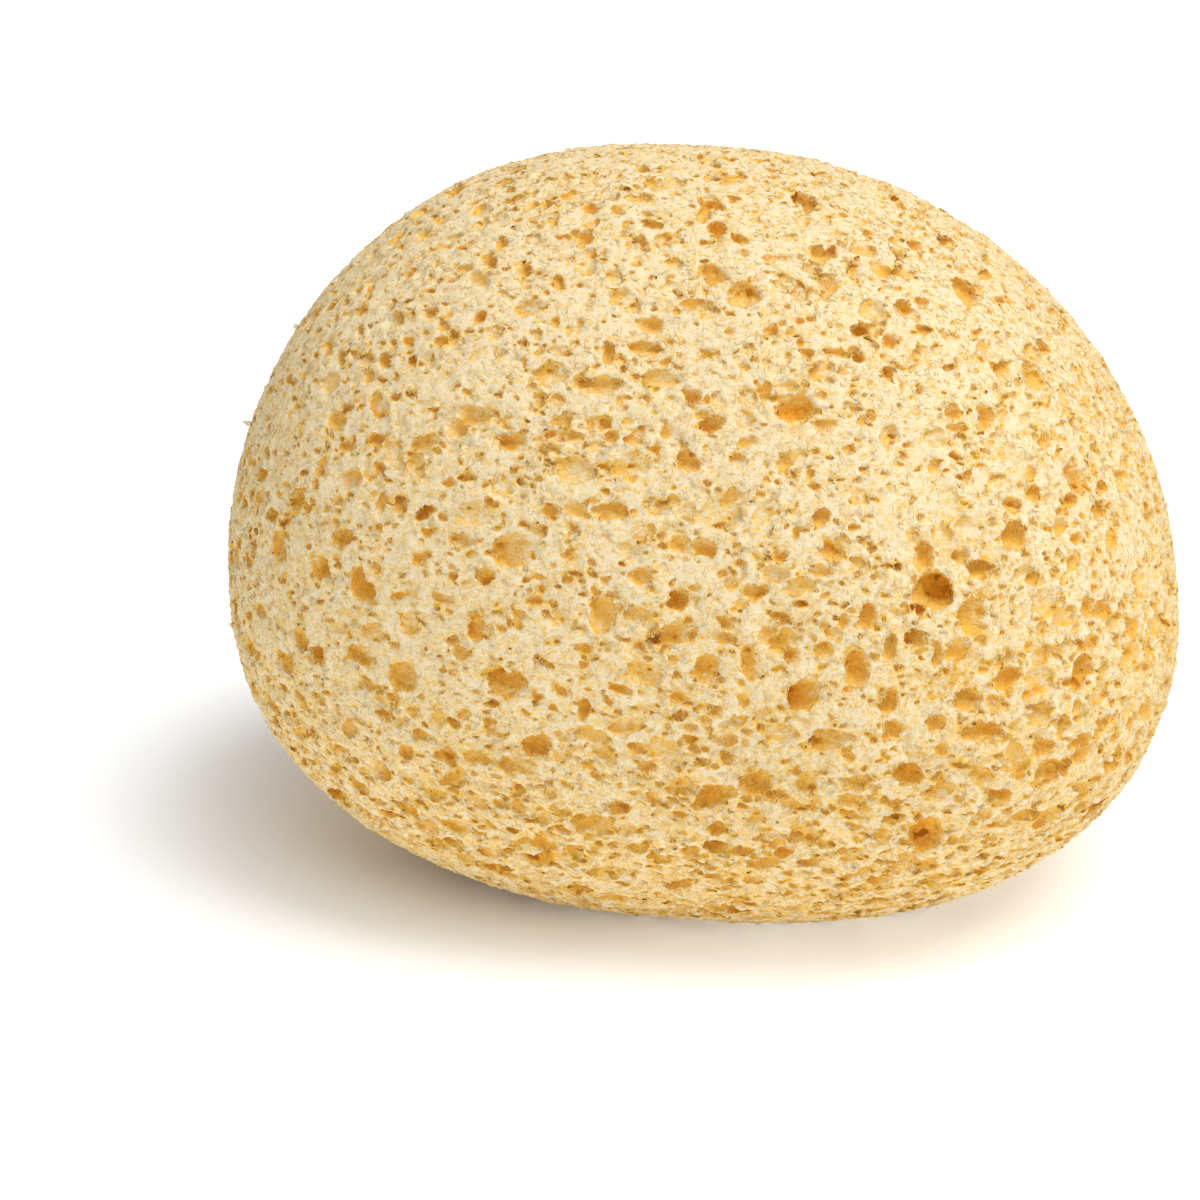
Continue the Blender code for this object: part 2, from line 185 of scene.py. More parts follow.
@dataclass(frozen=True)
class SpongeForm:
    """The smooth round form that the sponge would have without its pores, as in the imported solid."""

    length: float
    depth: float
    belt_height: float = 0.041
    crown_rise: float = 0.068
    underside_drop: float = 0.046
    belt_squareness: float = 2.5
    flank_squareness: float = 2.1
    lean: float = -0.065
    least_reach: float = 0.2
    slope_step: float = 0.2 * MM
    grain_shares: tuple[float, float, float] = (0.25, 0.6, 0.35)

    def reach(self, unit: np.ndarray) -> np.ndarray:
        """Measure how far points lie out, as 1 on the form's surface.

        Args:
            unit: Points in the form's own unit space, one to a row.

        Returns:
            One number for each point.
        """
        size = np.abs(unit)
        belt = size[:, 0] ** self.belt_squareness + size[:, 1] ** self.belt_squareness
        belt = belt ** (1 / self.belt_squareness)
        return (belt ** self.flank_squareness + size[:, 2] ** self.flank_squareness) ** (
            1 / self.flank_squareness
        )

    def points(self, directions: np.ndarray) -> np.ndarray:
        """Give the surface points that lie in some directions from the middle of the belt.

        Args:
            directions: One direction to a row.

        Returns:
            The points, before the form is cut flat at the floor.
        """
        unit = directions / self.reach(directions)[:, None]
        rise = unit[:, 2] * np.where(unit[:, 2] > 0, self.crown_rise, self.underside_drop)
        across = unit[:, 0] * self.length / 2 + self.lean * rise
        return np.column_stack((across, unit[:, 1] * self.depth / 2, self.belt_height + rise))

    def unit_points(self, points: np.ndarray) -> np.ndarray:
        """Take points in metres back to the form's own unit space.

        Args:
            points: The points.

        Returns:
            The same points in unit space.
        """
        rise = points[:, 2] - self.belt_height
        scale = np.where(rise > 0, self.crown_rise, self.underside_drop)
        across = (points[:, 0] - self.lean * rise) / (self.length / 2)
        return np.column_stack((across, points[:, 1] / (self.depth / 2), rise / scale))

    def depth_below(self, points: np.ndarray) -> np.ndarray:
        """Measure how deep points lie under the form's surface or above its flat foot.

        Args:
            points: The points.

        Returns:
            Their depths in metres.
        """
        level = self.reach(self.unit_points(points))
        middle = np.array((0.0, 0.0, self.belt_height))
        span = np.linalg.norm(points - middle, axis=1)
        under = span * (1 / np.maximum(level, self.least_reach) - 1)
        return np.minimum(under, np.maximum(points[:, 2], 0.0))

    def outward(self, points: np.ndarray) -> np.ndarray:
        """Give the way out of the form at points, from how its reach grows around each.

        Args:
            points: The points.

        Returns:
            One direction of length 1 for each point.
        """
        slopes = []
        for axis in np.eye(3):
            ahead = self.reach(self.unit_points(points + axis * self.slope_step))
            behind = self.reach(self.unit_points(points - axis * self.slope_step))
            slopes.append(ahead - behind)
        out = np.column_stack(slopes)
        return out / np.linalg.norm(out, axis=1)[:, None]

    def coarseness(self, points: np.ndarray) -> np.ndarray:
        """Say how open the grain is at points: 0 at the fine upper left, 1 at the open lower right.

        Args:
            points: The points.

        Returns:
            One number for each point.
        """
        along = 0.5 + points[:, 0] / self.length
        height = points[:, 2] / (self.belt_height + self.crown_rise)
        fine_end, along_share, height_share = self.grain_shares
        return np.clip(fine_end + along_share * along - height_share * height, 0, 1)


@dataclass(frozen=True)
class Sight:
    """The photograph's sight line, which turns its pixels into rays."""

    azimuth: float = math.radians(7)
    elevation: float = math.radians(22)
    distance: float = 0.75
    target: tuple[float, float, float] = (0.0, 0.0, 0.05)
    target_across: float = 705
    target_down: float = 541
    focal_length_pixels: float = 5081
    strongest_slant: float = 0.42

    def axes(self) -> tuple[Vector, Vector, Vector]:
        """Give the photograph's own axes.

        Returns:
            The directions to its right, upwards, and back towards the viewer.
        """
        level = math.cos(self.elevation)
        back = Vector((
            math.sin(self.azimuth) * level,
            -math.cos(self.azimuth) * level,
            math.sin(self.elevation),
        ))
        right = Vector((math.cos(self.azimuth), math.sin(self.azimuth), 0))
        return right, back.cross(right), back

    def eye(self) -> Vector:
        """Give the place that the photograph was taken from."""
        return Vector(self.target) + self.axes()[2] * self.distance

    def ray(self, across: float, down: float) -> Vector:
        """Give the direction from the eye through a pixel.

        Args:
            across: The pixel's place from the left.
            down: The pixel's place from the top.

        Returns:
            The direction, of length 1.
        """
        right, up, back = self.axes()
        aside = (across - self.target_across) / self.focal_length_pixels
        below = (down - self.target_down) / self.focal_length_pixels
        return (right * aside - up * below - back).normalized()

    def true_size(self, seen: float, tangent: Vector) -> float:
        """Lengthen a seen size to the real one on a surface that slants away from the viewer.

        Args:
            seen: The size that is seen.
            tangent: The direction on the surface that it lies along.

        Returns:
            The real size.
        """
        back = self.axes()[2]
        share = (tangent - back * tangent.dot(back)).length
        return seen / max(share, self.strongest_slant)


@dataclass
class PoreSet:
    """Pores as arrays, one pore to a row: where each opens, its axes and its sizes in metres."""

    points: np.ndarray
    sides: np.ndarray
    normals: np.ndarray
    widths: np.ndarray
    heights: np.ndarray
    depths: np.ndarray

    @classmethod
    def gather(cls, rows: list[tuple]) -> "PoreSet":
        """Stack pores given one by one as point, side, normal, width, height and depth."""
        return cls(*(np.array([row[at] for row in rows], dtype=float) for at in range(6)))

    def chosen(self, pick: np.ndarray) -> "PoreSet":
        """Give the pores that an index array or a mask picks."""
        return PoreSet(
            self.points[pick], self.sides[pick], self.normals[pick],
            self.widths[pick], self.heights[pick], self.depths[pick],
        )

    def joined(self, other: "PoreSet") -> "PoreSet":
        """Give these pores and another set's in one."""
        return PoreSet(
            np.concatenate((self.points, other.points)), np.concatenate((self.sides, other.sides)),
            np.concatenate((self.normals, other.normals)), np.concatenate((self.widths, other.widths)),
            np.concatenate((self.heights, other.heights)), np.concatenate((self.depths, other.depths)),
        )


def deselect_all() -> None:
    """Leave nothing selected, so that an operator acts only on what comes next."""
    if bpy.context.object and bpy.context.object.mode != "OBJECT":
        bpy.ops.object.mode_set(mode="OBJECT")
    bpy.ops.object.select_all(action="DESELECT")


def make_active(piece: bpy.types.Object) -> None:
    """Select one object alone and make it the active one.

    Args:
        piece: The object.
    """
    deselect_all()
    piece.select_set(True)
    bpy.context.view_layer.objects.active = piece


def read_points(mesh: bpy.types.Mesh) -> np.ndarray:
    """Read a mesh's points.

    Args:
        mesh: The mesh.

    Returns:
        The points, one to a row.
    """
    flat = np.empty(len(mesh.vertices) * 3)
    mesh.vertices.foreach_get("co", flat)
    return flat.reshape(-1, 3)


def read_triangles(mesh: bpy.types.Mesh) -> np.ndarray:
    """Read a mesh's triangles.

    Args:
        mesh: The mesh.

    Returns:
        Rows of three point numbers.
    """
    mesh.calc_loop_triangles()
    flat = np.empty(len(mesh.loop_triangles) * 3, dtype=np.int32)
    mesh.loop_triangles.foreach_get("vertices", flat)
    return flat.reshape(-1, 3)


def write_points(mesh: bpy.types.Mesh, points: np.ndarray) -> None:
    """Move a mesh's points, none of them below the floor.

    Args:
        mesh: The mesh.
        points: Where its points go, one to a row.
    """
    points[:, 2] = np.maximum(points[:, 2], 0.0)
    mesh.vertices.foreach_set("co", points.ravel())
    mesh.update()


def mesh_from_arrays(name: str, points: np.ndarray, triangles: np.ndarray) -> bpy.types.Object:
    """Make an object from points and triangles that were worked out as arrays.

    Args:
        name: The object's name.
        points: The points, one to a row.
        triangles: Rows of three point numbers.

    Returns:
        The new object, linked to the scene.
    """
    mesh = bpy.data.meshes.new(name)
    mesh.vertices.add(len(points))
    mesh.vertices.foreach_set("co", points.ravel())
    mesh.loops.add(triangles.size)
    mesh.loops.foreach_set("vertex_index", triangles.astype(np.int32).ravel())
    mesh.polygons.add(len(triangles))
    mesh.polygons.foreach_set("loop_start", np.arange(0, triangles.size, 3, dtype=np.int32))
    mesh.update(calc_edges=True)
    item = bpy.data.objects.new(name, mesh)
    bpy.context.scene.collection.objects.link(item)
    return item


def unit_ball(subdivisions: int) -> tuple[np.ndarray, np.ndarray]:
    """Model one ball and read it, to be copied many times.

    Args:
        subdivisions: How fine the ball is.

    Returns:
        Its points and its triangles.
    """
    deselect_all()
    bpy.ops.mesh.primitive_ico_sphere_add(subdivisions=subdivisions, radius=1.0)
    ball = bpy.context.object
    points, triangles = read_points(ball.data), read_triangles(ball.data)
    bpy.data.objects.remove(ball, do_unlink=True)
    return points, triangles


def apply_modifier(piece: bpy.types.Object, kind: str, **settings: object) -> None:
    """Put one modifier on a piece and apply it.

    Args:
        piece: The piece to change.
        kind: The modifier's type.
        settings: Its values, by name.
    """
    make_active(piece)
    modifier = piece.modifiers.new(kind.lower(), kind)
    for key, value in settings.items():
        setattr(modifier, key, value)
    bpy.ops.object.modifier_apply(modifier=modifier.name)


class Grain:
    """Repeatable noise in space, worked out for whole arrays of points at once."""

    table_size = 4096
    primes = (73856093, 19349663, 83492791)
    far_off = 9.0

    def __init__(self, seed: int) -> None:
        """Draw the table of values.

        Args:
            seed: The number that the whole grain follows from.
        """
        self.table = np.random.default_rng(seed).random((self.table_size, 3))

    def at(self, corner: np.ndarray) -> np.ndarray:
        """Give the three values that belong to whole-number corners."""
        first, second, third = (corner * np.array(self.primes)).T
        return self.table[(first ^ second ^ third) & (self.table_size - 1)]

    def cloud(self, points: np.ndarray, size: float) -> np.ndarray:
        """Give three soft noise values, each from -1 to 1, for every point.

        Args:
            points: The points.
            size: How large the noise's lumps are.

        Returns:
            Three values to a row.
        """
        place = points / size
        corner = np.floor(place).astype(np.int64)
        share = place - corner
        share = share * share * (3 - 2 * share)
        total = np.zeros_like(points)
        for step in np.ndindex(2, 2, 2):
            weight = np.where(np.array(step), share, 1 - share).prod(axis=1)
            total += self.at(corner + step) * weight[:, None]
        return total * 2 - 1

    def bubbles(self, points: np.ndarray, size: float) -> np.ndarray:
        """Measure how far points lie from the walls of a foam of bubbles.

        Args:
            points: The points.
            size: The bubbles' usual width.

        Returns:
            How much nearer each point is to its bubble's middle than to the next one's, in widths.
        """
        place = points / size
        corner = np.floor(place).astype(np.int64)
        nearest = np.full(len(points), self.far_off)
        second = np.full(len(points), self.far_off)
        for step in np.ndindex(3, 3, 3):
            cell = corner + np.array(step) - 1
            span = np.linalg.norm(cell + self.at(cell) - place, axis=1)
            second = np.minimum(second, np.maximum(nearest, span))
            nearest = np.minimum(nearest, span)
        return second - nearest


class PoreField:
    """Finds where the photograph's pores open on the form, and scatters the pits of the imported solid
    where it doesn't look.
    """

    # How the pits scattered out of the photograph's view lie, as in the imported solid
    scatter_seed = 17
    scatter_tries = 5000
    scatter_limit = 125
    smallest_pit = 2.9 * MM
    largest_pit = 6.8 * MM
    small_pits_favoured = 1.6
    pit_height_to_width = (0.55, 0.95)
    pit_depth_to_width = (0.35, 0.85)
    pit_tilt = (-0.5, 0.5)
    pit_sink = 0.25
    pit_wall = 1.7 * MM
    clear_foot_radius = 0.012
    well_seen = 0.3
    fine_end_size = 0.75
    nearly_level = 0.1

    def __init__(self, form: SpongeForm, sight: Sight) -> None:
        """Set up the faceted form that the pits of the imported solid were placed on.

        Args:
            form: The sponge's smooth form.
            sight: The photograph's sight line.
        """
        self.form = form
        self.sight = sight
        self.middle = Vector((0, 0, form.belt_height))
        coarse = bmesh.new()
        bmesh.ops.create_icosphere(coarse, subdivisions=4, radius=1.0)
        shaped = form.points(np.array([vertex.co for vertex in coarse.verts]))
        for vertex, place in zip(coarse.verts, shaped):
            vertex.co = place
        bmesh.ops.bisect_plane(
            coarse, geom=coarse.verts[:] + coarse.edges[:] + coarse.faces[:],
            plane_co=(0, 0, 0), plane_no=(0, 0, -1), clear_outer=True,
        )
        bmesh.ops.contextual_create(coarse, geom=[edge for edge in coarse.edges if edge.is_boundary])
        bmesh.ops.recalc_face_normals(coarse, faces=coarse.faces[:])
        self.surface = BVHTree.FromBMesh(coarse)
        coarse.free()

    def photographed(self, pores: tuple[tuple, ...]) -> PoreSet:
        """Set pores of the photograph on the form, each where its sight line meets it.

        Args:
            pores: Rows of a PhotoPore's values.

        Returns:
            The same pores in space.
        """
        right = self.sight.axes()[0]
        eye = self.sight.eye()
        rows = []
        for pore in (PhotoPore(*row) for row in pores):
            point, normal, _, _ = self.surface.ray_cast(eye, self.sight.ray(pore.across, pore.down))
            side = (right - normal * right.dot(normal)).normalized()
            side = Matrix.Rotation(math.radians(pore.tilt), 3, normal) @ side
            width = self.sight.true_size(pore.width * MM, side)
            height = self.sight.true_size(pore.height * MM, normal.cross(side))
            rows.append((point, side, normal, width, height, pore.depth * MM))
        return PoreSet.gather(rows)

    def level_side(self, normal: Vector, tilt: float) -> Vector:
        """Give the direction on the surface that runs level, turned about the normal.

        Args:
            normal: The way out of the surface.
            tilt: How far it is turned, in radians.

        Returns:
            The direction, of length 1.
        """
        side = Vector((0, 0, 1)).cross(normal)
        if side.length < self.nearly_level:
            side = Vector((1, 0, 0))
        return Matrix.Rotation(tilt, 3, normal) @ side.normalized()

    def has_room(self, point: Vector, normal: Vector, width: float, placed: list) -> bool:
        """Say if a pit may open at a point: out of the photograph's view, off the foot, clear of pits.

        Args:
            point: The point.
            normal: The way out of the surface there.
            width: The pit's width.
            placed: The middles and widths of the pits so far.

        Returns:
            True where it may.
        """
        if normal.dot(self.sight.axes()[2]) > self.well_seen:
            return False
        if point.z < self.pit_wall and math.hypot(point.x, point.y) < self.clear_foot_radius:
            return False
        return all(
            (point - other).length > (width + wide) / 2 + self.pit_wall
            for other, wide in placed
        )

    def unseen(self, seen: PoreSet) -> PoreSet:
        """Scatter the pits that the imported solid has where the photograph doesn't look.

        Args:
            seen: The pits of the photograph, to keep clear of.

        Returns:
            The scattered pits.
        """
        chance = random.Random(self.scatter_seed)
        middles = seen.points - seen.normals * (seen.depths * self.pit_sink)[:, None]
        placed = [(Vector(middle), width) for middle, width in zip(middles, seen.widths)]
        rows = []
        for _ in range(self.scatter_tries):
            turn = chance.uniform(0, 2 * math.pi)
            rise = chance.uniform(-1, 1)
            size = chance.random() ** self.small_pits_favoured
            height_to_width = chance.uniform(*self.pit_height_to_width)
            depth_to_width = chance.uniform(*self.pit_depth_to_width)
            tilt = chance.uniform(*self.pit_tilt)
            level = math.sqrt(1 - rise * rise)
            direction = Vector((level * math.cos(turn), level * math.sin(turn), rise))
            point, normal, _, _ = self.surface.ray_cast(self.middle, direction)
            coarse = float(self.form.coarseness(np.array([point]))[0])
            width = self.smallest_pit + (self.largest_pit - self.smallest_pit) * size
            width *= self.fine_end_size + (1 - self.fine_end_size) * coarse
            if not self.has_room(point, normal, width, placed):
                continue
            side = self.level_side(normal, tilt)
            rows.append((point, side, normal, width, width * height_to_width, width * depth_to_width))
            placed.append((point, width))
            if len(rows) == self.scatter_limit:
                break
        return PoreSet.gather(rows)


@dataclass(frozen=True)
class FoamRelief:
    """One layer of dimples like those of foam: how large, how deep and how uneven its bubbles are."""

    size: float
    depth: float
    flatness: float
    drift_size: float
    drift: float
    wall_slope: float
    wall_curve: float
    evenness: float
    patch_size: float
    patchiness: float

    def dimples(self, grain: Grain, points: np.ndarray) -> np.ndarray:
        """Say how far into a dimple points lie.

        Args:
            grain: The noise that the foam follows.
            points: The points.

        Returns:
            For each point 0 on a wall between dimples and 1 well inside one.
        """
        flattened = points * (1.0, 1.0, self.flatness)
        warped = flattened + grain.cloud(flattened, self.drift_size) * self.drift
        return np.clip(grain.bubbles(warped, self.size) * self.wall_slope, 0, 1) ** self.wall_curve

    def patches(self, grain: Grain, points: np.ndarray) -> np.ndarray:
        """Say how strong the dimples are at points, which changes from patch to patch."""
        return self.evenness + self.patchiness * grain.cloud(points, self.patch_size)[:, 0]


@dataclass(frozen=True)
class PoreFamily:
    """One family of scattered pores: how many, how large, how deep, and how fine their balls are."""

    kind: PoreClass
    tries: int
    count: int
    smallest: float
    largest: float
    small_favoured: float
    gap: float
    sink: float
    ball_subdivisions: int
    height_to_width: tuple[float, float]
    depth_to_width: tuple[float, float]


def spaced(points: np.ndarray, widths: np.ndarray, gap: float, count: int) -> np.ndarray:
    """Pick pores in order, leaving out each that would come too near one already picked.

    Args:
        points: Where the pores open.
        widths: Their widths.
        gap: The least wall between two; below zero they may overlap.
        count: The most to pick.

    Returns:
        The numbers of the picked pores.
    """
    cell = float(widths.max()) + gap
    keys = np.floor(points / cell).astype(int)
    near = [(i, j, k) for i in (-1, 0, 1) for j in (-1, 0, 1) for k in (-1, 0, 1)]
    grid: dict[tuple, list] = {}
    picked = []
    rows = zip(keys.tolist(), points.tolist(), widths.tolist())
    for number, ((a, b, c), (x, y, z), width) in enumerate(rows):
        clear = True
        for i, j, k in near:
            for ox, oy, oz, other in grid.get((a + i, b + j, c + k), ()):
                least = (width + other) / 2 + gap
                if (x - ox) ** 2 + (y - oy) ** 2 + (z - oz) ** 2 < least * least:
                    clear = False
                    break
            if not clear:
                break
        if clear:
            grid.setdefault((a, b, c), []).append((x, y, z, width))
            picked.append(number)
            if len(picked) == count:
                break
    return np.array(picked)


@dataclass
class SpongeMass:
    """The sponge itself: a foamy form carved by all of its pores, ragged at their rims."""

    form: SpongeForm
    field_of_pores: PoreField
    name: str = "sponge_mass"
    seed: int = 5
    form_subdivisions: int = 8
    main_ball: int = 4
    sink: float = 0.05
    deepest_to_width: float = 0.85
    lumps: int = 9
    lump_size: float = 0.38
    swollen_more: float = 1.15
    lump_sharpness: float = 5.0
    raggedness: float = 0.08
    flare: float = 0.3
    flare_depth: float = 0.3
    flare_height: float = 0.9
    tool_room: float = 1.4
    usual_slant: tuple[float, float] = (-0.3, 0.2)
    slant_spread: float = 0.3
    side_lobe_least: float = 2.2 * MM
    side_lobe_size: tuple[float, float] = (0.4, 0.8)
    seen_lobe_size: tuple[float, float] = (0.3, 0.6)
    lobe_reach: tuple[float, float] = (1.12, 0.35)
    lobe_depth: float = 0.8
    triangle_limit: int = 620_000
    foam: FoamRelief = FoamRelief(
        size=2.7 * MM, depth=0.62 * MM, flatness=1.35, drift_size=3.1 * MM, drift=0.8 * MM,
        wall_slope=2.2, wall_curve=0.8, evenness=0.75, patch_size=9.0 * MM, patchiness=0.45,
    )
    bubbling: FoamRelief = FoamRelief(
        size=1.15 * MM, depth=0.26 * MM, flatness=1.3, drift_size=1.3 * MM, drift=0.35 * MM,
        wall_slope=2.0, wall_curve=1.0, evenness=0.8, patch_size=5.0 * MM, patchiness=0.5,
    )
    grain_growth: tuple[float, float] = (0.82, 0.3)
    shallow: float = 0.9 * MM
    kept_inside: float = 0.3
    thinned_fine: float = 0.3
    least_level: float = 0.25
    most_tilt: float = 0.7
    pressed_below: float = 0.9
    pressed_flatter: float = 0.45
    pressed_wider: float = 0.4
    clear_outside: float = 0.45
    clear_inside: float = 0.3
    patch_limits: tuple[float, float] = (0.2, 1.3)
    coarse_share: float = 0.35
    usual_coarseness: float = 0.4
    swell_depth: float = 0.35 * MM
    calm_share: float = 0.6
    calm_depth: float = 1.6 * MM
    foot_rim: float = 0.4 * MM
    # Rays that measure how shut in each point is, which sets the finish's painted shade
    rays: int = 7
    ray_reach: float = 4.0 * MM
    ray_clearance: float = 0.03 * MM
    ray_lift: float = 1.02
    near_floor: float = 0.3 * MM
    ragged_size: float = 0.8 * MM
    ragged_depth: float = 0.26 * MM
    families: tuple[PoreFamily, ...] = (
        PoreFamily(
            PoreClass.DISH, tries=9000, count=1000, smallest=2.4 * MM, largest=5.2 * MM,
            small_favoured=1.4, gap=-0.4 * MM, sink=-0.4, ball_subdivisions=3,
            height_to_width=(0.5, 0.95), depth_to_width=(0.16, 0.3),
        ),
        PoreFamily(
            PoreClass.MEDIUM, tries=14000, count=1200, smallest=1.5 * MM, largest=3.3 * MM,
            small_favoured=2.0, gap=0.15 * MM, sink=0.0, ball_subdivisions=3,
            height_to_width=(0.45, 0.95), depth_to_width=(0.35, 0.8),
        ),
        PoreFamily(
            PoreClass.SMALL, tries=30000, count=5000, smallest=0.9 * MM, largest=1.6 * MM,
            small_favoured=1.2, gap=0.05 * MM, sink=-0.05, ball_subdivisions=2,
            height_to_width=(0.45, 0.95), depth_to_width=(0.35, 0.7),
        ),
        PoreFamily(
            PoreClass.FINE, tries=40000, count=5000, smallest=0.6 * MM, largest=0.95 * MM,
            small_favoured=1.0, gap=0.05 * MM, sink=0.0, ball_subdivisions=1,
            height_to_width=(0.5, 0.95), depth_to_width=(0.5, 0.8),
        ),
    )
    piece: bpy.types.Object = field(init=False, default=None)

    def build(self) -> bpy.types.Object:
        """Carve the sponge.

        Returns:
            The finished piece, with the attributes that its finish reads.
        """
        chance = np.random.default_rng(self.seed)
        self.piece = self.foamy_body()
        tools = bpy.data.collections.new("pore_tools")
        bpy.context.scene.collection.children.link(tools)

        main = self.field_of_pores.photographed(MAIN_PORES)
        main = main.joined(self.field_of_pores.unseen(main))
        main = main.joined(self.field_of_pores.photographed(SMALLER_PORES))
        narrow = np.minimum(main.widths, main.heights)
        main.depths = np.minimum(main.depths, narrow * self.deepest_to_width)
        self.add_tools(main, self.sink, self.main_ball, tools, chance)
        lobes = self.side_lobes(main, self.seen_lobe_size, chance)
        self.add_tools(lobes, self.sink, self.main_ball - 1, tools, chance)
        self.carve(tools)
        taken = main
        for together in ((PoreClass.DISH, PoreClass.MEDIUM), (PoreClass.SMALL, PoreClass.FINE)):
            for family in self.families:
                if family.kind not in together:
                    continue
                pores = self.scattered(family, taken, chance)
                self.add_tools(pores, family.sink, family.ball_subdivisions, tools, chance)
                if family.kind in (PoreClass.DISH, PoreClass.MEDIUM):
                    lobes = self.side_lobes(pores, self.side_lobe_size, chance)
                    self.add_tools(lobes, family.sink, family.ball_subdivisions - 1, tools, chance)
                if family.kind is PoreClass.MEDIUM:
                    taken = taken.joined(pores)
                log.info("%s pores: %d", family.kind.value, len(pores.widths))
            self.carve(tools)
        bpy.data.collections.remove(tools)

        self.roughen()
        log.info("roughened")
        self.thin_out()
        self.drop_crumbs()
        self.write_attributes()
        lay_bake_charts(self.piece, self.form)
        self.piece.data.shade_smooth()
        return self.piece

    def foamy_body(self) -> bpy.types.Object:
        """Shape a ball into the sponge's form, dimple it like foam and flatten its foot.

        Returns:
            The body, not yet carved.
        """
        deselect_all()
        bpy.ops.mesh.primitive_ico_sphere_add(subdivisions=self.form_subdivisions, radius=1.0)
        body = bpy.context.object
        body.name = self.name
        body.data.name = self.name
        points = self.form.points(read_points(body.data))
        grain = Grain(self.seed)
        out = self.form.outward(points)
        patch = self.foam.patches(grain, points)
        patch = patch + self.coarse_share * (self.form.coarseness(points) - self.usual_coarseness)
        sunk = self.foam.dimples(grain, points) * self.foam.depth * np.clip(patch, *self.patch_limits)
        sunk += (grain.cloud(points, self.foam.patch_size)[:, 1] * 0.5 + 0.5) * self.swell_depth
        write_points(body.data, points - out * sunk[:, None])
        return body

    def side_lobes(
        self, pores: PoreSet, sizes: tuple[float, float], chance: np.random.Generator
    ) -> PoreSet:
        """Give the larger pores a smaller lobe at one side, so that few of them are plain ovals.

        Args:
            pores: The pores.
            sizes: The lobes' least and greatest size, as a share of their pore's.
            chance: The source of chance.

        Returns:
            The lobes, as pores.
        """
        large = pores.chosen(pores.widths > self.side_lobe_least)
        count = len(large.widths)
        turn = chance.uniform(0, 2 * math.pi, count)[:, None]
        size = chance.uniform(*sizes, count)
        rises = np.cross(large.normals, large.sides)
        aside = large.sides * np.cos(turn) * (large.widths / 2)[:, None]
        aside += rises * np.sin(turn) * (large.heights / 2)[:, None]
        farthest, drawn_in = self.lobe_reach
        return PoreSet(
            large.points + aside * (farthest - size * drawn_in)[:, None], large.sides, large.normals,
            large.widths * size, large.heights * size, large.depths * size * self.lobe_depth,
        )

    def roughen(self) -> None:
        """Dimple the carved body all over with the finest bubbles, and make its rims ragged."""
        mesh = self.piece.data
        points = read_points(mesh)
        normals = self.read_normals()
        grain = Grain(self.seed + 1)
        patch = np.clip(self.bubbling.patches(grain, points), *self.patch_limits)
        calm = 1 - self.calm_share * np.clip(self.form.depth_below(points) / self.calm_depth, 0, 1)
        sunk = self.bubbling.dimples(grain, points) * self.bubbling.depth * patch * calm
        ragged = grain.cloud(points, self.ragged_size) * self.ragged_depth
        moved = points - normals * sunk[:, None] + ragged
        foot = np.clip(points[:, 2] / self.foot_rim, 0, 1)[:, None]
        write_points(mesh, points + (moved - points) * foot)

    def scattered(self, family: PoreFamily, taken: PoreSet, chance: np.random.Generator) -> PoreSet:
        """Scatter one family of pores over the surface as it is carved so far, inside larger pores too.

        Args:
            family: The family's sizes.
            taken: Larger pores, whose rims are kept whole.
            chance: The source of chance.

        Returns:
            The family's pores.
        """
        mesh = self.piece.data
        points, triangles = read_points(mesh), read_triangles(mesh)
        corners = points[triangles]
        across = np.cross(corners[:, 1] - corners[:, 0], corners[:, 2] - corners[:, 0])
        areas = np.linalg.norm(across, axis=1)
        pick = chance.choice(len(areas), family.tries, p=areas / areas.sum())
        first = np.sqrt(chance.random(family.tries))[:, None]
        second = chance.random(family.tries)[:, None]
        chosen = corners[pick]
        spots = chosen[:, 0] * (1 - first) + chosen[:, 1] * first * (1 - second)
        spots = spots + chosen[:, 2] * first * second
        normals = across[pick] / np.maximum(areas[pick], 1e-18)[:, None]
        size = chance.random(family.tries) ** family.small_favoured
        coarse = self.form.coarseness(spots)
        fine_size, coarse_growth = self.grain_growth
        widths = family.smallest + (family.largest - family.smallest) * size
        widths = widths * (fine_size + coarse_growth * coarse)

        shallow = self.form.depth_below(spots) < self.shallow
        keep = shallow | (chance.random(family.tries) < self.kept_inside)
        keep &= chance.random(family.tries) < 1 - self.thinned_fine + self.thinned_fine * coarse
        if family.kind in (PoreClass.DISH, PoreClass.MEDIUM):
            keep &= self.clear_of(spots, widths, taken)
        spots, normals, widths = spots[keep], normals[keep], widths[keep]
        picked = spaced(spots, widths, family.gap, family.count)
        spots, normals, widths = spots[picked], normals[picked], widths[picked]

        sides = np.cross((0.0, 0.0, 1.0), normals)
        flat = np.linalg.norm(sides, axis=1) < self.field_of_pores.nearly_level
        sides[flat] = (1.0, 0.0, 0.0)
        sides -= normals * (sides * normals).sum(axis=1)[:, None]
        sides /= np.linalg.norm(sides, axis=1)[:, None]
        level = np.clip(spots[:, 2] / self.form.belt_height, self.least_level, 1)
        tilt = (chance.uniform(-self.most_tilt, self.most_tilt, len(spots)) * level)[:, None]
        sides = sides * np.cos(tilt) + np.cross(normals, sides) * np.sin(tilt)
        heights = widths * chance.uniform(*family.height_to_width, len(spots))
        low = np.clip(1 - spots[:, 2] / (self.form.belt_height * self.pressed_below), 0, 1)
        heights *= 1 - self.pressed_flatter * low
        widths = widths * (1 + self.pressed_wider * low)
        depths = widths * chance.uniform(*family.depth_to_width, len(spots))
        return PoreSet(spots, sides, normals, widths, heights, depths)

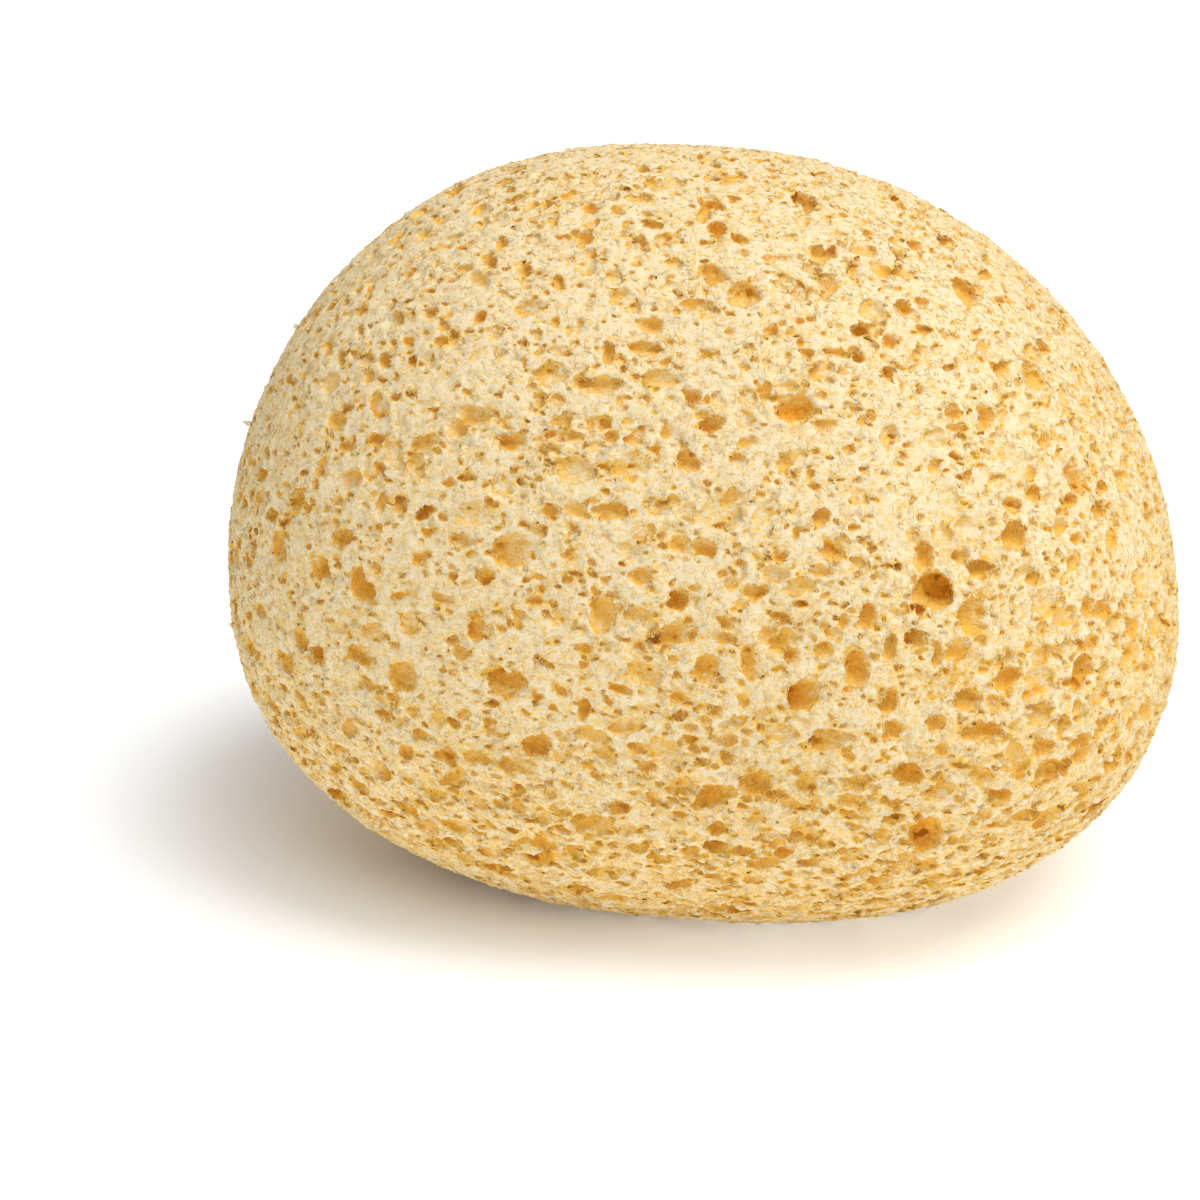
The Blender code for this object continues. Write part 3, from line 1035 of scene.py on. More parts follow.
    def clear_of(self, spots: np.ndarray, widths: np.ndarray, taken: PoreSet) -> np.ndarray:
        """Say which spots lie clear of the rims of larger pores.

        Args:
            spots: Where new pores would open.
            widths: Their widths.
            taken: The larger pores.

        Returns:
            True for each spot well outside or well inside every larger pore.
        """
        clear = np.ones(len(spots), dtype=bool)
        for point, width, height in zip(taken.points, taken.widths, taken.heights):
            gap = np.linalg.norm(spots - point, axis=1)
            mean = (width + height) / 4
            clear &= (gap > mean + widths * self.clear_outside) | (gap < mean * self.clear_inside)
        return clear

    def add_tools(
        self, pores: PoreSet, sink: float, subdivisions: int, tools: bpy.types.Collection,
        chance: np.random.Generator,
    ) -> None:
        """Make the lumpy balls that carve some pores, in as few meshes as keep them apart.

        Args:
            pores: The pores to carve.
            sink: How far in each ball's middle lies, as a share of the pore's depth; above 0 is inside.
            subdivisions: How fine each ball is.
            tools: The collection that the meshes go in.
            chance: The source of chance.
        """
        ball, faces = unit_ball(subdivisions)
        left = np.arange(len(pores.widths))
        reach = np.maximum(pores.widths, np.maximum(pores.heights, pores.depths * 2 * (1 - sink)))
        reach = reach * self.tool_room
        while len(left):
            batch = left[spaced(pores.points[left], reach[left], 0.0, len(left))]
            left = np.setdiff1d(left, batch)
            shapes = self.lumpy_balls(ball, pores.chosen(batch), sink, chance)
            numbers = faces[None] + (np.arange(len(batch)) * len(ball))[:, None, None]
            tool = mesh_from_arrays("pore_tool", shapes.reshape(-1, 3), numbers.reshape(-1, 3))
            bpy.context.scene.collection.objects.unlink(tool)
            tools.objects.link(tool)

    def lumpy_balls(
        self, ball: np.ndarray, pores: PoreSet, sink: float, chance: np.random.Generator
    ) -> np.ndarray:
        """Copy one ball to every pore, each copy lumpy in its own way.

        Args:
            ball: The unit ball's points.
            pores: The pores, one for each copy.
            sink: How far in each ball's middle lies, as a share of the pore's depth.
            chance: The source of chance.

        Returns:
            The points of every copy, as pores by points by three.
        """
        count = len(pores.widths)
        knobs = chance.normal(size=(count, self.lumps, 3))
        knobs /= np.linalg.norm(knobs, axis=2)[:, :, None]
        most = self.lump_size * self.swollen_more
        swells = chance.uniform(-self.lump_size, most, (count, self.lumps))
        near = np.einsum("pk,nlk->npl", ball, knobs)
        swell = 1 + (np.exp(self.lump_sharpness * (near - 1)) * swells[:, None, :]).sum(axis=2)
        swell *= 1 + chance.uniform(-self.raggedness, self.raggedness, swell.shape)
        local = ball[None] * swell[:, :, None]
        opening = np.clip((local[:, :, 2] + self.flare_depth) / self.flare_height, 0, 1)
        local[:, :, :2] *= (1 + self.flare * opening * opening * (3 - 2 * opening))[:, :, None]
        slant = chance.normal(self.usual_slant, self.slant_spread, (count, 2))
        local[:, :, :2] += np.clip(-local[:, :, 2], 0, 2)[:, :, None] * slant[:, None]
        rises = np.cross(pores.normals, pores.sides)
        middles = pores.points - pores.normals * (pores.depths * sink)[:, None]
        across = pores.sides * (pores.widths / 2)[:, None]
        upward = rises * (pores.heights / 2)[:, None]
        inward = pores.normals * (pores.depths * (1 - sink))[:, None]
        return (
            middles[:, None] + local[:, :, :1] * across[:, None] + local[:, :, 1:2] * upward[:, None]
            + local[:, :, 2:] * inward[:, None]
        )

    def carve(self, tools: bpy.types.Collection) -> None:
        """Cut the waiting pores out of the body, and clear their balls away.

        Args:
            tools: The pores' balls.
        """
        apply_modifier(
            self.piece, "BOOLEAN", operation="DIFFERENCE", solver="MANIFOLD",
            operand_type="COLLECTION", collection=tools,
        )
        for tool in list(tools.objects):
            bpy.data.objects.remove(tool, do_unlink=True)
        log.info("carved to %d faces", len(self.piece.data.polygons))

    def thin_out(self) -> None:
        """Take out the triangles that the shape doesn't need."""
        triangles = len(read_triangles(self.piece.data))
        if triangles > self.triangle_limit:
            apply_modifier(
                self.piece, "DECIMATE", decimate_type="COLLAPSE", ratio=self.triangle_limit / triangles,
                use_collapse_triangulate=True,
            )
        write_points(self.piece.data, read_points(self.piece.data))
        log.info("thinned from %d to %d triangles", triangles, len(read_triangles(self.piece.data)))

    def drop_crumbs(self) -> None:
        """Remove the loose crumbs that the pores cut free, so that one closed body is left."""
        mesh = self.piece.data
        edges = np.empty(len(mesh.edges) * 2, dtype=np.int32)
        mesh.edges.foreach_get("vertices", edges)
        edges = edges.reshape(-1, 2)
        label = np.arange(len(mesh.vertices))
        while True:
            lowest = np.minimum(label[edges[:, 0]], label[edges[:, 1]])
            before = label.copy()
            np.minimum.at(label, edges[:, 0], lowest)
            np.minimum.at(label, edges[:, 1], lowest)
            label = label[label]
            if np.array_equal(before, label):
                break
        body_label = np.bincount(label).argmax()
        crumbs = label != body_label
        if not crumbs.any():
            return
        make_active(self.piece)
        bpy.ops.object.mode_set(mode="EDIT")
        bpy.ops.mesh.select_all(action="DESELECT")
        bpy.ops.object.mode_set(mode="OBJECT")
        mesh.vertices.foreach_set("select", crumbs)
        mesh.update()
        bpy.ops.object.mode_set(mode="EDIT")
        bpy.ops.mesh.delete(type="VERT")
        bpy.ops.object.mode_set(mode="OBJECT")
        log.info("dropped %d points of loose crumbs", int(crumbs.sum()))

    def write_attributes(self) -> None:
        """Write how deep, how shut in and how steep each point is, which the finish turns into painted
        shade in its hollows.
        """
        mesh = self.piece.data
        points = read_points(mesh)
        depth = self.form.depth_below(points)
        shade = spread_over_surface(mesh, self.shut_in_shade(points), 1)
        normals = self.read_normals()
        slope = 1 - (normals * self.form.outward(points)).sum(axis=1)
        slope = np.where(points[:, 2] > self.near_floor, slope, 0.0)
        for name, values in (("pore_depth", depth / MM), ("pore_shade", shade), ("pore_slope", slope)):
            layer = mesh.attributes.new(name, "FLOAT", "POINT")
            layer.data.foreach_set("value", values.astype(np.float32))

    def read_normals(self) -> np.ndarray:
        """Read which way the piece faces at each of its points.

        Returns:
            One direction of length 1 for each point.
        """
        mesh = self.piece.data
        flat = np.empty(len(mesh.vertices) * 3, dtype=np.float32)
        mesh.vertex_normals.foreach_get("vector", flat)
        return flat.reshape(-1, 3).astype(float)

    def shut_in_shade(self, points: np.ndarray) -> np.ndarray:
        """Say how much of the open air each point is shut off from by the sponge close by, for the
        finish's painted shade.

        Args:
            points: The piece's points.

        Returns:
            For each point, a share from 0, quite open, to 1, quite shut in.
        """
        mesh = self.piece.data
        normals = self.read_normals()
        body = BVHTree.FromPolygons(points.tolist(), read_triangles(mesh).tolist(), all_triangles=True)
        starts = (points + normals * self.ray_clearance).tolist()
        chance = np.random.default_rng(self.seed + 2)
        shut = np.zeros(len(points))
        for _ in range(self.rays):
            ways = chance.normal(size=points.shape)
            ways = ways / np.linalg.norm(ways, axis=1)[:, None] + normals * self.ray_lift
            ways /= np.linalg.norm(ways, axis=1)[:, None]
            hits = [body.ray_cast(at, way, self.ray_reach)[3] for at, way in zip(starts, ways.tolist())]
            spans = np.array([self.ray_reach if span is None else span for span in hits])
            shut += 1 - np.sqrt(spans / self.ray_reach)
        return shut / self.rays


def lay_bake_charts(piece: bpy.types.Object, form: SpongeForm) -> None:
    """Lay a piece's surface out flat in six charts, one for each side of the sponge that it faces.

    Args:
        piece: The piece.
        form: The sponge's form, whose box the charts are drawn over.
    """
    mesh = piece.data
    count = len(mesh.polygons)
    centres = np.empty(count * 3)
    mesh.polygons.foreach_get("center", centres)
    corners = np.empty(count, dtype=np.int32)
    mesh.polygons.foreach_get("loop_total", corners)
    numbers = np.empty(len(mesh.loops), dtype=np.int32)
    mesh.loops.foreach_get("vertex_index", numbers)
    height = form.belt_height + form.crown_rise
    middle = np.array((0.0, 0.0, height / 2))
    half = np.array((form.length, form.depth, height)) / 2
    ways = (centres.reshape(-1, 3) - middle) / half
    axis = np.abs(ways).argmax(axis=1)
    side = ways[np.arange(count), axis] > 0
    axis, side = np.repeat(axis, corners), np.repeat(side, corners)
    place = (read_points(mesh)[numbers] - middle) / half * CHART_FILL
    rows = np.arange(len(numbers))
    across = np.where(axis == 0, 1, 0)
    upward = np.where(axis == 2, 1, 2)
    chart = np.column_stack((place[rows, across], place[rows, upward])) / 2 + 0.5
    chart = (chart + np.column_stack((axis, side))) / CHART_GRID
    layer = mesh.uv_layers.new(name="OFBake")
    layer.data.foreach_set("uv", chart.astype(np.float32).ravel())


def spread_over_surface(mesh: bpy.types.Mesh, values: np.ndarray, rounds: int) -> np.ndarray:
    """Even out a value over the surface, along its edges.

    Args:
        mesh: The mesh.
        values: One value for each point.
        rounds: How many times each point takes its neighbours' mean.

    Returns:
        The evened values.
    """
    edges = np.empty(len(mesh.edges) * 2, dtype=np.int32)
    mesh.edges.foreach_get("vertices", edges)
    first, second = edges.reshape(-1, 2).T
    count = len(values)
    degree = np.bincount(first, minlength=count) + np.bincount(second, minlength=count)
    for _ in range(rounds):
        total = np.bincount(first, values[second], count) + np.bincount(second, values[first], count)
        values = (values + total) / (degree + 1)
    return values


def spindle_mesh(spindles: np.ndarray) -> tuple[np.ndarray, np.ndarray]:
    """Join closed spindles of five points: one end, a ring of three, and the other end.

    Args:
        spindles: The points, as spindles by five by three.

    Returns:
        The points and the triangles of all the spindles, none of them below the floor.
    """
    spindles[:, :, 2] = np.maximum(spindles[:, :, 2], 0.0)
    pattern = np.array([(0, 2, 1), (0, 3, 2), (0, 1, 3), (4, 1, 2), (4, 2, 3), (4, 3, 1)])
    numbers = pattern[None] + (np.arange(len(spindles)) * 5)[:, None, None]
    return spindles.reshape(-1, 3), numbers.reshape(-1, 3)


@dataclass
class FibreFelt:
    """Short fibres felted over the sponge: closed spindles that lie across its walls and fine pores."""

    form: SpongeForm
    mass: SpongeMass
    name: str
    seed: int
    count: int = 30000
    length: tuple[float, float] = (0.9 * MM, 2.3 * MM)
    thickness: tuple[float, float] = (0.1 * MM, 0.22 * MM)
    lift: tuple[float, float] = (0.02 * MM, 0.14 * MM)
    dip: float = 0.1 * MM
    deepest: float = 1.0 * MM
    bend: float = 0.25
    levelness: float = 0.45
    roundness: float = 0.8
    clear_of_floor: float = 0.5 * MM
    piece: bpy.types.Object = field(init=False, default=None)

    def build(self) -> bpy.types.Object:
        """Lay the fibres.

        Returns:
            The felt, as one mesh.
        """
        chance = np.random.default_rng(self.seed)
        mesh = self.mass.piece.data
        points, triangles = read_points(mesh), read_triangles(mesh)
        depth = self.form.depth_below(points)[triangles].mean(axis=1)
        corners = points[triangles]
        across = np.cross(corners[:, 1] - corners[:, 0], corners[:, 2] - corners[:, 0])
        areas = np.linalg.norm(across, axis=1)
        weight = areas * (depth < self.deepest) * (corners[:, :, 2].min(axis=1) > self.clear_of_floor)
        pick = chance.choice(len(areas), self.count, p=weight / weight.sum())
        spots = corners[pick].mean(axis=1)
        out = self.form.outward(spots)
        self.piece = mesh_from_arrays(self.name, *self.spindles(spots, out, chance))
        lay_bake_charts(self.piece, self.form)
        self.piece.data.shade_smooth()
        return self.piece

    def spindles(
        self, spots: np.ndarray, out: np.ndarray, chance: np.random.Generator
    ) -> tuple[np.ndarray, np.ndarray]:
        """Work out closed, bent spindles: a point at each end and a three-sided ring between.

        Args:
            spots: The middle of each fibre.
            out: The way out of the sponge there.
            chance: The source of chance.

        Returns:
            The points and the triangles of all the fibres.
        """
        count = len(spots)
        along = np.cross(out, chance.normal(size=(count, 3)) * (1.0, 1.0, self.levelness))
        along /= np.linalg.norm(along, axis=1)[:, None]
        sideways = np.cross(out, along)
        length = chance.uniform(*self.length, (count, 1))
        thick = chance.uniform(*self.thickness, (count, 1)) / 2
        lift = chance.uniform(*self.lift, (count, 1))
        bend = chance.uniform(-self.bend, self.bend, (count, 1)) * length
        start = spots - along * length / 2 - out * self.dip
        end = spots + along * length / 2 - out * self.dip
        middle = spots + out * lift + sideways * bend
        ring = []
        for turn in range(3):
            angle = math.radians(90 + 120 * turn)
            upright = out * math.sin(angle) * self.roundness
            ring.append(middle + (upright + sideways * math.cos(angle)) * thick)
        return spindle_mesh(np.stack([start, *ring, end], axis=1))


@dataclass
class EdgeTufts:
    """The few tufts of loose fibre that stand out of the sponge's edge in the photograph."""

    form: SpongeForm
    sight: Sight
    surface: BVHTree
    name: str = "edge_tufts"
    seed: int = 21
    places: tuple[tuple[float, float], ...] = (
        (247, 427), (292, 329), (935, 900), (232, 628), (1171, 500),
    )
    sizes: tuple[float, ...] = (1.0, 0.6, 0.9, 0.5, 0.45)
    fibres: int = 16
    spread: float = 0.35 * MM
    length: tuple[float, float] = (0.7 * MM, 1.7 * MM)
    thickness: float = 0.16 * MM
    lean: float = 0.45
    step_inwards: float = 1.5
    bend_at: float = 0.4
    piece: bpy.types.Object = field(init=False, default=None)

    def build(self) -> bpy.types.Object:
        """Set the tufts on the edge.

        Returns:
            The tufts, as one mesh.
        """
        chance = np.random.default_rng(self.seed)
        fibres = []
        for (across, down), size in zip(self.places, self.sizes):
            root, out = self.root(across, down)
            for _ in range(self.fibres):
                way = out + chance.normal(size=3) * self.lean
                way /= np.linalg.norm(way)
                start = root + chance.normal(size=3) * self.spread * size - out * self.spread
                tip = start + way * chance.uniform(*self.length) * size + out * self.spread
                fibres.append(self.fibre(start, tip, chance))
        self.piece = mesh_from_arrays(self.name, *spindle_mesh(np.stack(fibres)))
        lay_bake_charts(self.piece, self.form)
        self.piece.data.shade_smooth()
        return self.piece

    def root(self, across: float, down: float) -> tuple[np.ndarray, np.ndarray]:
        """Find the sponge's surface at a pixel on its edge, stepping inwards to where it is met.

        Args:
            across: The pixel's place from the left.
            down: The pixel's place from the top.

        Returns:
            The point that is met and the way out of the surface there.
        """
        eye = self.sight.eye()
        place = Vector((across, down))
        inwards = Vector((self.sight.target_across, self.sight.target_down)) - place
        inwards.normalize()
        point, normal = None, None
        while point is None:
            point, normal, _, _ = self.surface.ray_cast(eye, self.sight.ray(*place))
            place += inwards * self.step_inwards
        return np.array(point), np.array(normal)

    def fibre(self, start: np.ndarray, tip: np.ndarray, chance: np.random.Generator) -> np.ndarray:
        """Work out one bent spindle.

        Args:
            start: Its root.
            tip: Its tip.
            chance: The source of chance.

        Returns:
            Its five points.
        """
        along = (tip - start) / np.linalg.norm(tip - start)
        aside = np.cross(along, chance.normal(size=3))
        aside /= np.linalg.norm(aside)
        third = np.cross(along, aside)
        middle = start + (tip - start) * self.bend_at + aside * self.thickness
        ring = []
        for turn in range(3):
            angle = math.radians(120 * turn)
            way = aside * math.cos(angle) + third * math.sin(angle)
            ring.append(middle + way * self.thickness / 2)
        return np.array([start, *ring, tip])


class Node:
    """Builds one material's nodes, so that a finish reads as plain expressions."""

    def __init__(self, name: str) -> None:
        """Make an empty material.

        Args:
            name: The material's name.
        """
        self.material = bpy.data.materials.new(name)
        self.material.use_nodes = True
        self.tree = self.material.node_tree
        self.tree.nodes.clear()

    def add(
        self, kind: str, settings: dict | None = None, sockets: dict | None = None
    ) -> bpy.types.Node:
        """Add a node.

        Args:
            kind: The node's type.
            settings: Its properties.
            sockets: Values or links for its inputs, by name or number.

        Returns:
            The node.
        """
        node = self.tree.nodes.new(kind)
        for key, value in (settings or {}).items():
            setattr(node, key, value)
        for key, value in (sockets or {}).items():
            if isinstance(value, Wire):
                self.tree.links.new(value.socket, node.inputs[key])
            else:
                node.inputs[key].default_value = value
        return node

    def wire(self, node: bpy.types.Node, output: Union[str, int] = 0) -> "Wire":
        """Wrap a node's output, to be used in expressions."""
        return Wire(self, node.outputs[output])

    def math(self, operation: str, *values: "Number") -> "Wire":
        """Add a Math node on wires or numbers."""
        sockets = dict(enumerate(values))
        return self.wire(self.add("ShaderNodeMath", {"operation": operation}, sockets))

    def vector_math(self, operation: str, *values: object) -> "Wire":
        """Add a Vector Math node on wires or vectors."""
        sockets = dict(enumerate(values))
        return self.wire(self.add("ShaderNodeVectorMath", {"operation": operation}, sockets))

    def scaled(self, vector: "Wire", factor: "Number") -> "Wire":
        """Scale a vector by a number."""
        node = self.add("ShaderNodeVectorMath", {"operation": "SCALE"}, {0: vector, "Scale": factor})
        return self.wire(node)

    def ramp(self, value: "Wire", low: float, high: float) -> "Wire":
        """Turn a value into 0 to 1 between two ends, softly at both.

        Args:
            value: The value.
            low: Where 0 ends.
            high: Where 1 starts.

        Returns:
            The share.
        """
        sockets = {"Value": value, "From Min": low, "From Max": high}
        node = self.add("ShaderNodeMapRange", {"interpolation_type": "SMOOTHSTEP"}, sockets)
        return self.wire(node)

    def blend(self, share: "Number", below: object, above: object) -> "Wire":
        """Mix two colours by a share from 0, the first, to 1, the second."""
        node = self.add("ShaderNodeMix", {"data_type": "RGBA"}, {0: share, 6: below, 7: above})
        return self.wire(node, 2)

    def noise(self, place: "Wire", scale: float, detail: float, rough: float = 0.5) -> bpy.types.Node:
        """Add a Noise Texture."""
        sockets = {"Vector": place, "Scale": scale, "Detail": detail, "Roughness": rough}
        return self.add("ShaderNodeTexNoise", {"noise_dimensions": "3D"}, sockets)

    def cells(self, place: "Wire", scale: float, chaos: float = 1.0) -> "Wire":
        """Give the distance to the nearest of scattered points, as round cells.

        Args:
            place: Where it is read.
            scale: How many cells there are to a unit.
            chaos: How far the points stray from a grid.

        Returns:
            The distance.
        """
        sockets = {"Vector": place, "Scale": scale, "Randomness": chaos}
        node = self.add("ShaderNodeTexVoronoi", {"feature": "F1"}, sockets)
        return self.wire(node, "Distance")

    def attribute(self, name: str) -> "Wire":
        """Read one of the mesh's own values."""
        return self.wire(self.add("ShaderNodeAttribute", {"attribute_name": name}), "Fac")

    def plain_surface(
        self, colour: "Wire", roughness: float, gloss: float, normal: "Wire"
    ) -> bpy.types.Material:
        """Close the material with a plain surface.

        Args:
            colour: Its colour.
            roughness: Its roughness.
            gloss: How much it shines.
            normal: The way it faces.

        Returns:
            The material.
        """
        shader = self.add("ShaderNodeBsdfPrincipled", {}, {
            "Base Color": colour, "Roughness": roughness, "Normal": normal,
            "Specular IOR Level": gloss,
        })
        self.add("ShaderNodeOutputMaterial", {}, {"Surface": self.wire(shader)})
        return self.material


class Wire:
    """A socket whose arithmetic adds Math nodes."""

    def __init__(self, nodes: Node, socket: bpy.types.NodeSocket) -> None:
        """Wrap a socket.

        Args:
            nodes: The builder that the socket's node belongs to.
            socket: An output.
        """
        self.nodes = nodes
        self.socket = socket

    def __add__(self, other: "Number") -> "Wire":
        """Add."""
        return self.nodes.math("ADD", self, other)

    def __sub__(self, other: "Number") -> "Wire":
        """Subtract."""
        return self.nodes.math("SUBTRACT", self, other)

    def __rsub__(self, other: float) -> "Wire":
        """Subtract from a number."""
        return self.nodes.math("SUBTRACT", other, self)

    def __mul__(self, other: "Number") -> "Wire":
        """Multiply."""
        return self.nodes.math("MULTIPLY", self, other)

    def __abs__(self) -> "Wire":
        """Give the size without the sign."""
        return self.nodes.math("ABSOLUTE", self)

    def clamped(self) -> "Wire":
        """Keep the value between 0 and 1."""
        return self.nodes.wire(self.nodes.add("ShaderNodeClamp", {}, {"Value": self}))


Number = Union[Wire, float]


@dataclass(frozen=True)
class SpongeColourAndShade:
    """The sponge's colour: cream felt laced with fine pores on a straw ground, painted shade that turns
    it golden in hollows and lower down, and painted light that makes it creamier higher up.
    """

    name: str = "sponge_fibre_and_painted_shade"
    frost: tuple = (0.95, 0.83, 0.63, 1)
    cream: tuple = (0.93, 0.785, 0.50, 1)
    straw: tuple = (0.93, 0.65, 0.20, 1)
    # The next two are painted shade: gold in hollows and lower down, amber deep in the pores
    shade_gold: tuple = (0.97, 0.59, 0.08, 1)
    deep_shade_amber: tuple = (1.0, 0.52, 0.03, 1)
    tan: tuple = (0.86, 0.46, 0.11, 1)
    roughness: float = 0.9
    bump_depth: float = 0.2 * MM
    bump_strength: float = 0.5
    gloss: float = 0.0
    drift_scale: float = 0.7
    drift_reach: float = 1.1
    layering: tuple[float, float, float] = (0.85, 0.85, 1.35)
    patch_scale: float = 0.16
    fleck_scale: float = 0.9
    fleck_ends: tuple[float, float] = (0.35, 0.6)
    speckle_scale: float = 2.6
    speckle_ends: tuple[float, float] = (0.5, 0.64)
    speckle_relief: float = 0.6
    net_scales: tuple[float, float] = (1.0, 2.3)
    net_roughness: float = 0.6
    net_sharpness: float = 5.0
    thread_sharpness: float = 14.0
    thread_ends: tuple[float, float] = (0.3, 0.9)
    thread_share: float = 0.8
    thread_lost: float = 0.75
    thread_relief: float = 3.0
    dot_scales: tuple[float, float] = (0.8, 1.5)
    # How hollows, steep pore walls, shut-in places and deep pores are painted in shade
    hollow_shade_depth: float = 0.1
    hollow_shade_slope: float = 0.35
    hollow_shade_ends: tuple[float, float] = (0.08, 0.55)
    shut_shade: float = 1.4
    shut_in_shade_depth: float = 0.25
    shut_in_shade_ends: tuple[float, float] = (0.4, 1.2)
    deep_shade: float = 2.0
    deep_shade_ends: tuple[float, float] = (2.6, 5.0)
    # Painted light from above: creamier higher up, more golden lower down
    height_ends: tuple[float, float] = (0.0, 100.0)
    bottom_shade_share: float = 0.5
    # How much the felt pattern, the painted shade of hollows, random patches and the painted light by
    # height each add to the cream cover
    net_share: float = 0.6
    dot_share: float = 1.2
    hollow_shade_share: float = 1.0
    patch_share: float = 0.5
    height_share: float = 0.35
    felt_ends: tuple[float, float] = (1.15, 2.1)

    def material(self) -> bpy.types.Material:
        """Build the material.

        Returns:
            The finish.
        """
        n = Node(self.name)
        place = n.wire(n.add("ShaderNodeTexCoord"), "Object")
        place = n.scaled(place, 1 / MM)
        drift = n.wire(n.noise(place, self.drift_scale, 1.0), "Color")
        drift = n.vector_math("SUBTRACT", drift, (0.5, 0.5, 0.5))
        warped = n.vector_math("ADD", place, n.scaled(drift, self.drift_reach))
        layered = n.vector_math("MULTIPLY", warped, self.layering)
        flat = n.vector_math("MULTIPLY", place, self.layering)
        patch = n.wire(n.noise(place, self.patch_scale, 1.0), "Fac")
        flecked = n.wire(n.noise(place, self.fleck_scale, 1.0), "Fac")
        speckled = n.wire(n.noise(flat, self.speckle_scale, 1.0), "Fac")

        coarse_net = self.net(n, layered, self.net_scales[0])
        fine_net = self.net(n, flat, self.net_scales[1])
        net = 1 - n.math("MINIMUM", coarse_net, fine_net) * self.net_sharpness
        dots = n.cells(layered, self.dot_scales[0]) + n.cells(layered, self.dot_scales[1])

        depth = n.attribute("pore_depth")
        shade = n.attribute("pore_shade")
        slope = n.attribute("pore_slope")
        # Painted shade: hollows, steep pore walls, shut-in places and deep pores turn golden and amber
        hollow_shade = shade + depth * self.hollow_shade_depth + slope * self.hollow_shade_slope
        hollow_shade = n.ramp(hollow_shade, *self.hollow_shade_ends)
        shut_in_shade = n.ramp(shade * self.shut_shade + depth * self.shut_in_shade_depth, *self.shut_in_shade_ends)
        deep_painted_shade = n.ramp(depth + shade * self.deep_shade, *self.deep_shade_ends)

        # Painted light from above: upper runs from 0 at the foot to 1 at the top, creamier higher up
        # and more golden lower down
        height = n.wire(n.add("ShaderNodeSeparateXYZ", {}, {0: place}), "Z")
        upper = n.ramp(height, *self.height_ends)
        # The cream felt cover, thinned by painted shade in hollows and lower down, thickened by painted
        # light higher up
        felted = net * self.net_share + dots * self.dot_share - hollow_shade * self.hollow_shade_share
        felted = felted + (patch - 0.5) * self.patch_share + (upper - 0.5) * self.height_share
        covered = n.ramp(felted, *self.felt_ends) * (1 - shut_in_shade)
        golden = (hollow_shade + (0.5 - upper) * self.bottom_shade_share).clamped()
        specks = n.ramp(speckled, *self.speckle_ends) * n.ramp(flecked, *self.fleck_ends)
        ground = n.blend(golden, self.straw, self.shade_gold)
        ground = n.blend(specks, ground, self.tan)
        ground = n.blend(deep_painted_shade, ground, self.deep_shade_amber)
        colour = n.blend(covered, ground, self.cream)
        # The frost threads fade out in the painted shade of hollows
        threads = n.ramp(1 - fine_net * self.thread_sharpness, *self.thread_ends)
        threads = threads * (1 - hollow_shade * self.thread_lost)
        colour = n.blend(threads * self.thread_share, colour, self.frost)

        relief = speckled * self.speckle_relief - fine_net * self.thread_relief
        bump = n.add("ShaderNodeBump", {}, {
            "Strength": self.bump_strength, "Distance": self.bump_depth, "Height": relief,
        })
        return n.plain_surface(colour, self.roughness, self.gloss, n.wire(bump))

    def net(self, n: Node, place: Wire, scale: float) -> Wire:
        """Draw a net of lines: 0 on a line and more away from it.

        Args:
            n: The builder of the material.
            place: Where it is read.
            scale: How fine the net is.

        Returns:
            The value.
        """
        drawn = n.wire(n.noise(place, scale, 1.0, self.net_roughness), "Fac")
        return abs(drawn - 0.5)


@dataclass(frozen=True)
class FibreFinish:
    """The felt's finish: pale cream fibres, a little yellower here and there."""

    name: str = "felt_fibre_finish"
    pale: tuple = (0.95, 0.79, 0.50, 1)
    warm: tuple = (0.94, 0.70, 0.32, 1)
    roughness: float = 0.85
    gloss: float = 0.0
    patch_scale: float = 0.5
    patch_ends: tuple[float, float] = (0.4, 0.65)
    grain_scale: float = 5.0
    bump_strength: float = 0.3
    bump_depth: float = 0.05 * MM

    def material(self) -> bpy.types.Material:
        """Build the material.

        Returns:
            The finish.
        """
        n = Node(self.name)
        place = n.scaled(n.wire(n.add("ShaderNodeTexCoord"), "Object"), 1 / MM)
        patch = n.wire(n.noise(place, self.patch_scale, 3.0), "Fac")
        colour = n.blend(n.ramp(patch, *self.patch_ends), self.pale, self.warm)
        grain = n.wire(n.noise(place, self.grain_scale, 2.0), "Fac")
        bump = n.add("ShaderNodeBump", {}, {
            "Strength": self.bump_strength, "Distance": self.bump_depth, "Height": grain,
        })
        return n.plain_surface(colour, self.roughness, self.gloss, n.wire(bump))


@dataclass(frozen=True)
class SoftLight:
    """One square soft light: its name, where it hangs, its side, its power in watts, its colour."""

    name: str
    place: tuple[float, float, float]
    size: float
    power: float
    colour: tuple[float, float, float] = (1.0, 1.0, 1.0)

    def hang(self, target: Vector) -> None:
        """Hang the light.

        Args:
            target: What it is aimed at.
        """
        deselect_all()
        bpy.ops.object.light_add(type="AREA", location=self.place)
        light = bpy.context.object
        light.name = self.name
        light.data.size = self.size
        light.data.energy = self.power
        light.data.color = self.colour
        aim = Vector(target) - Vector(self.place)
        light.rotation_euler = aim.to_track_quat("-Z", "Y").to_euler()


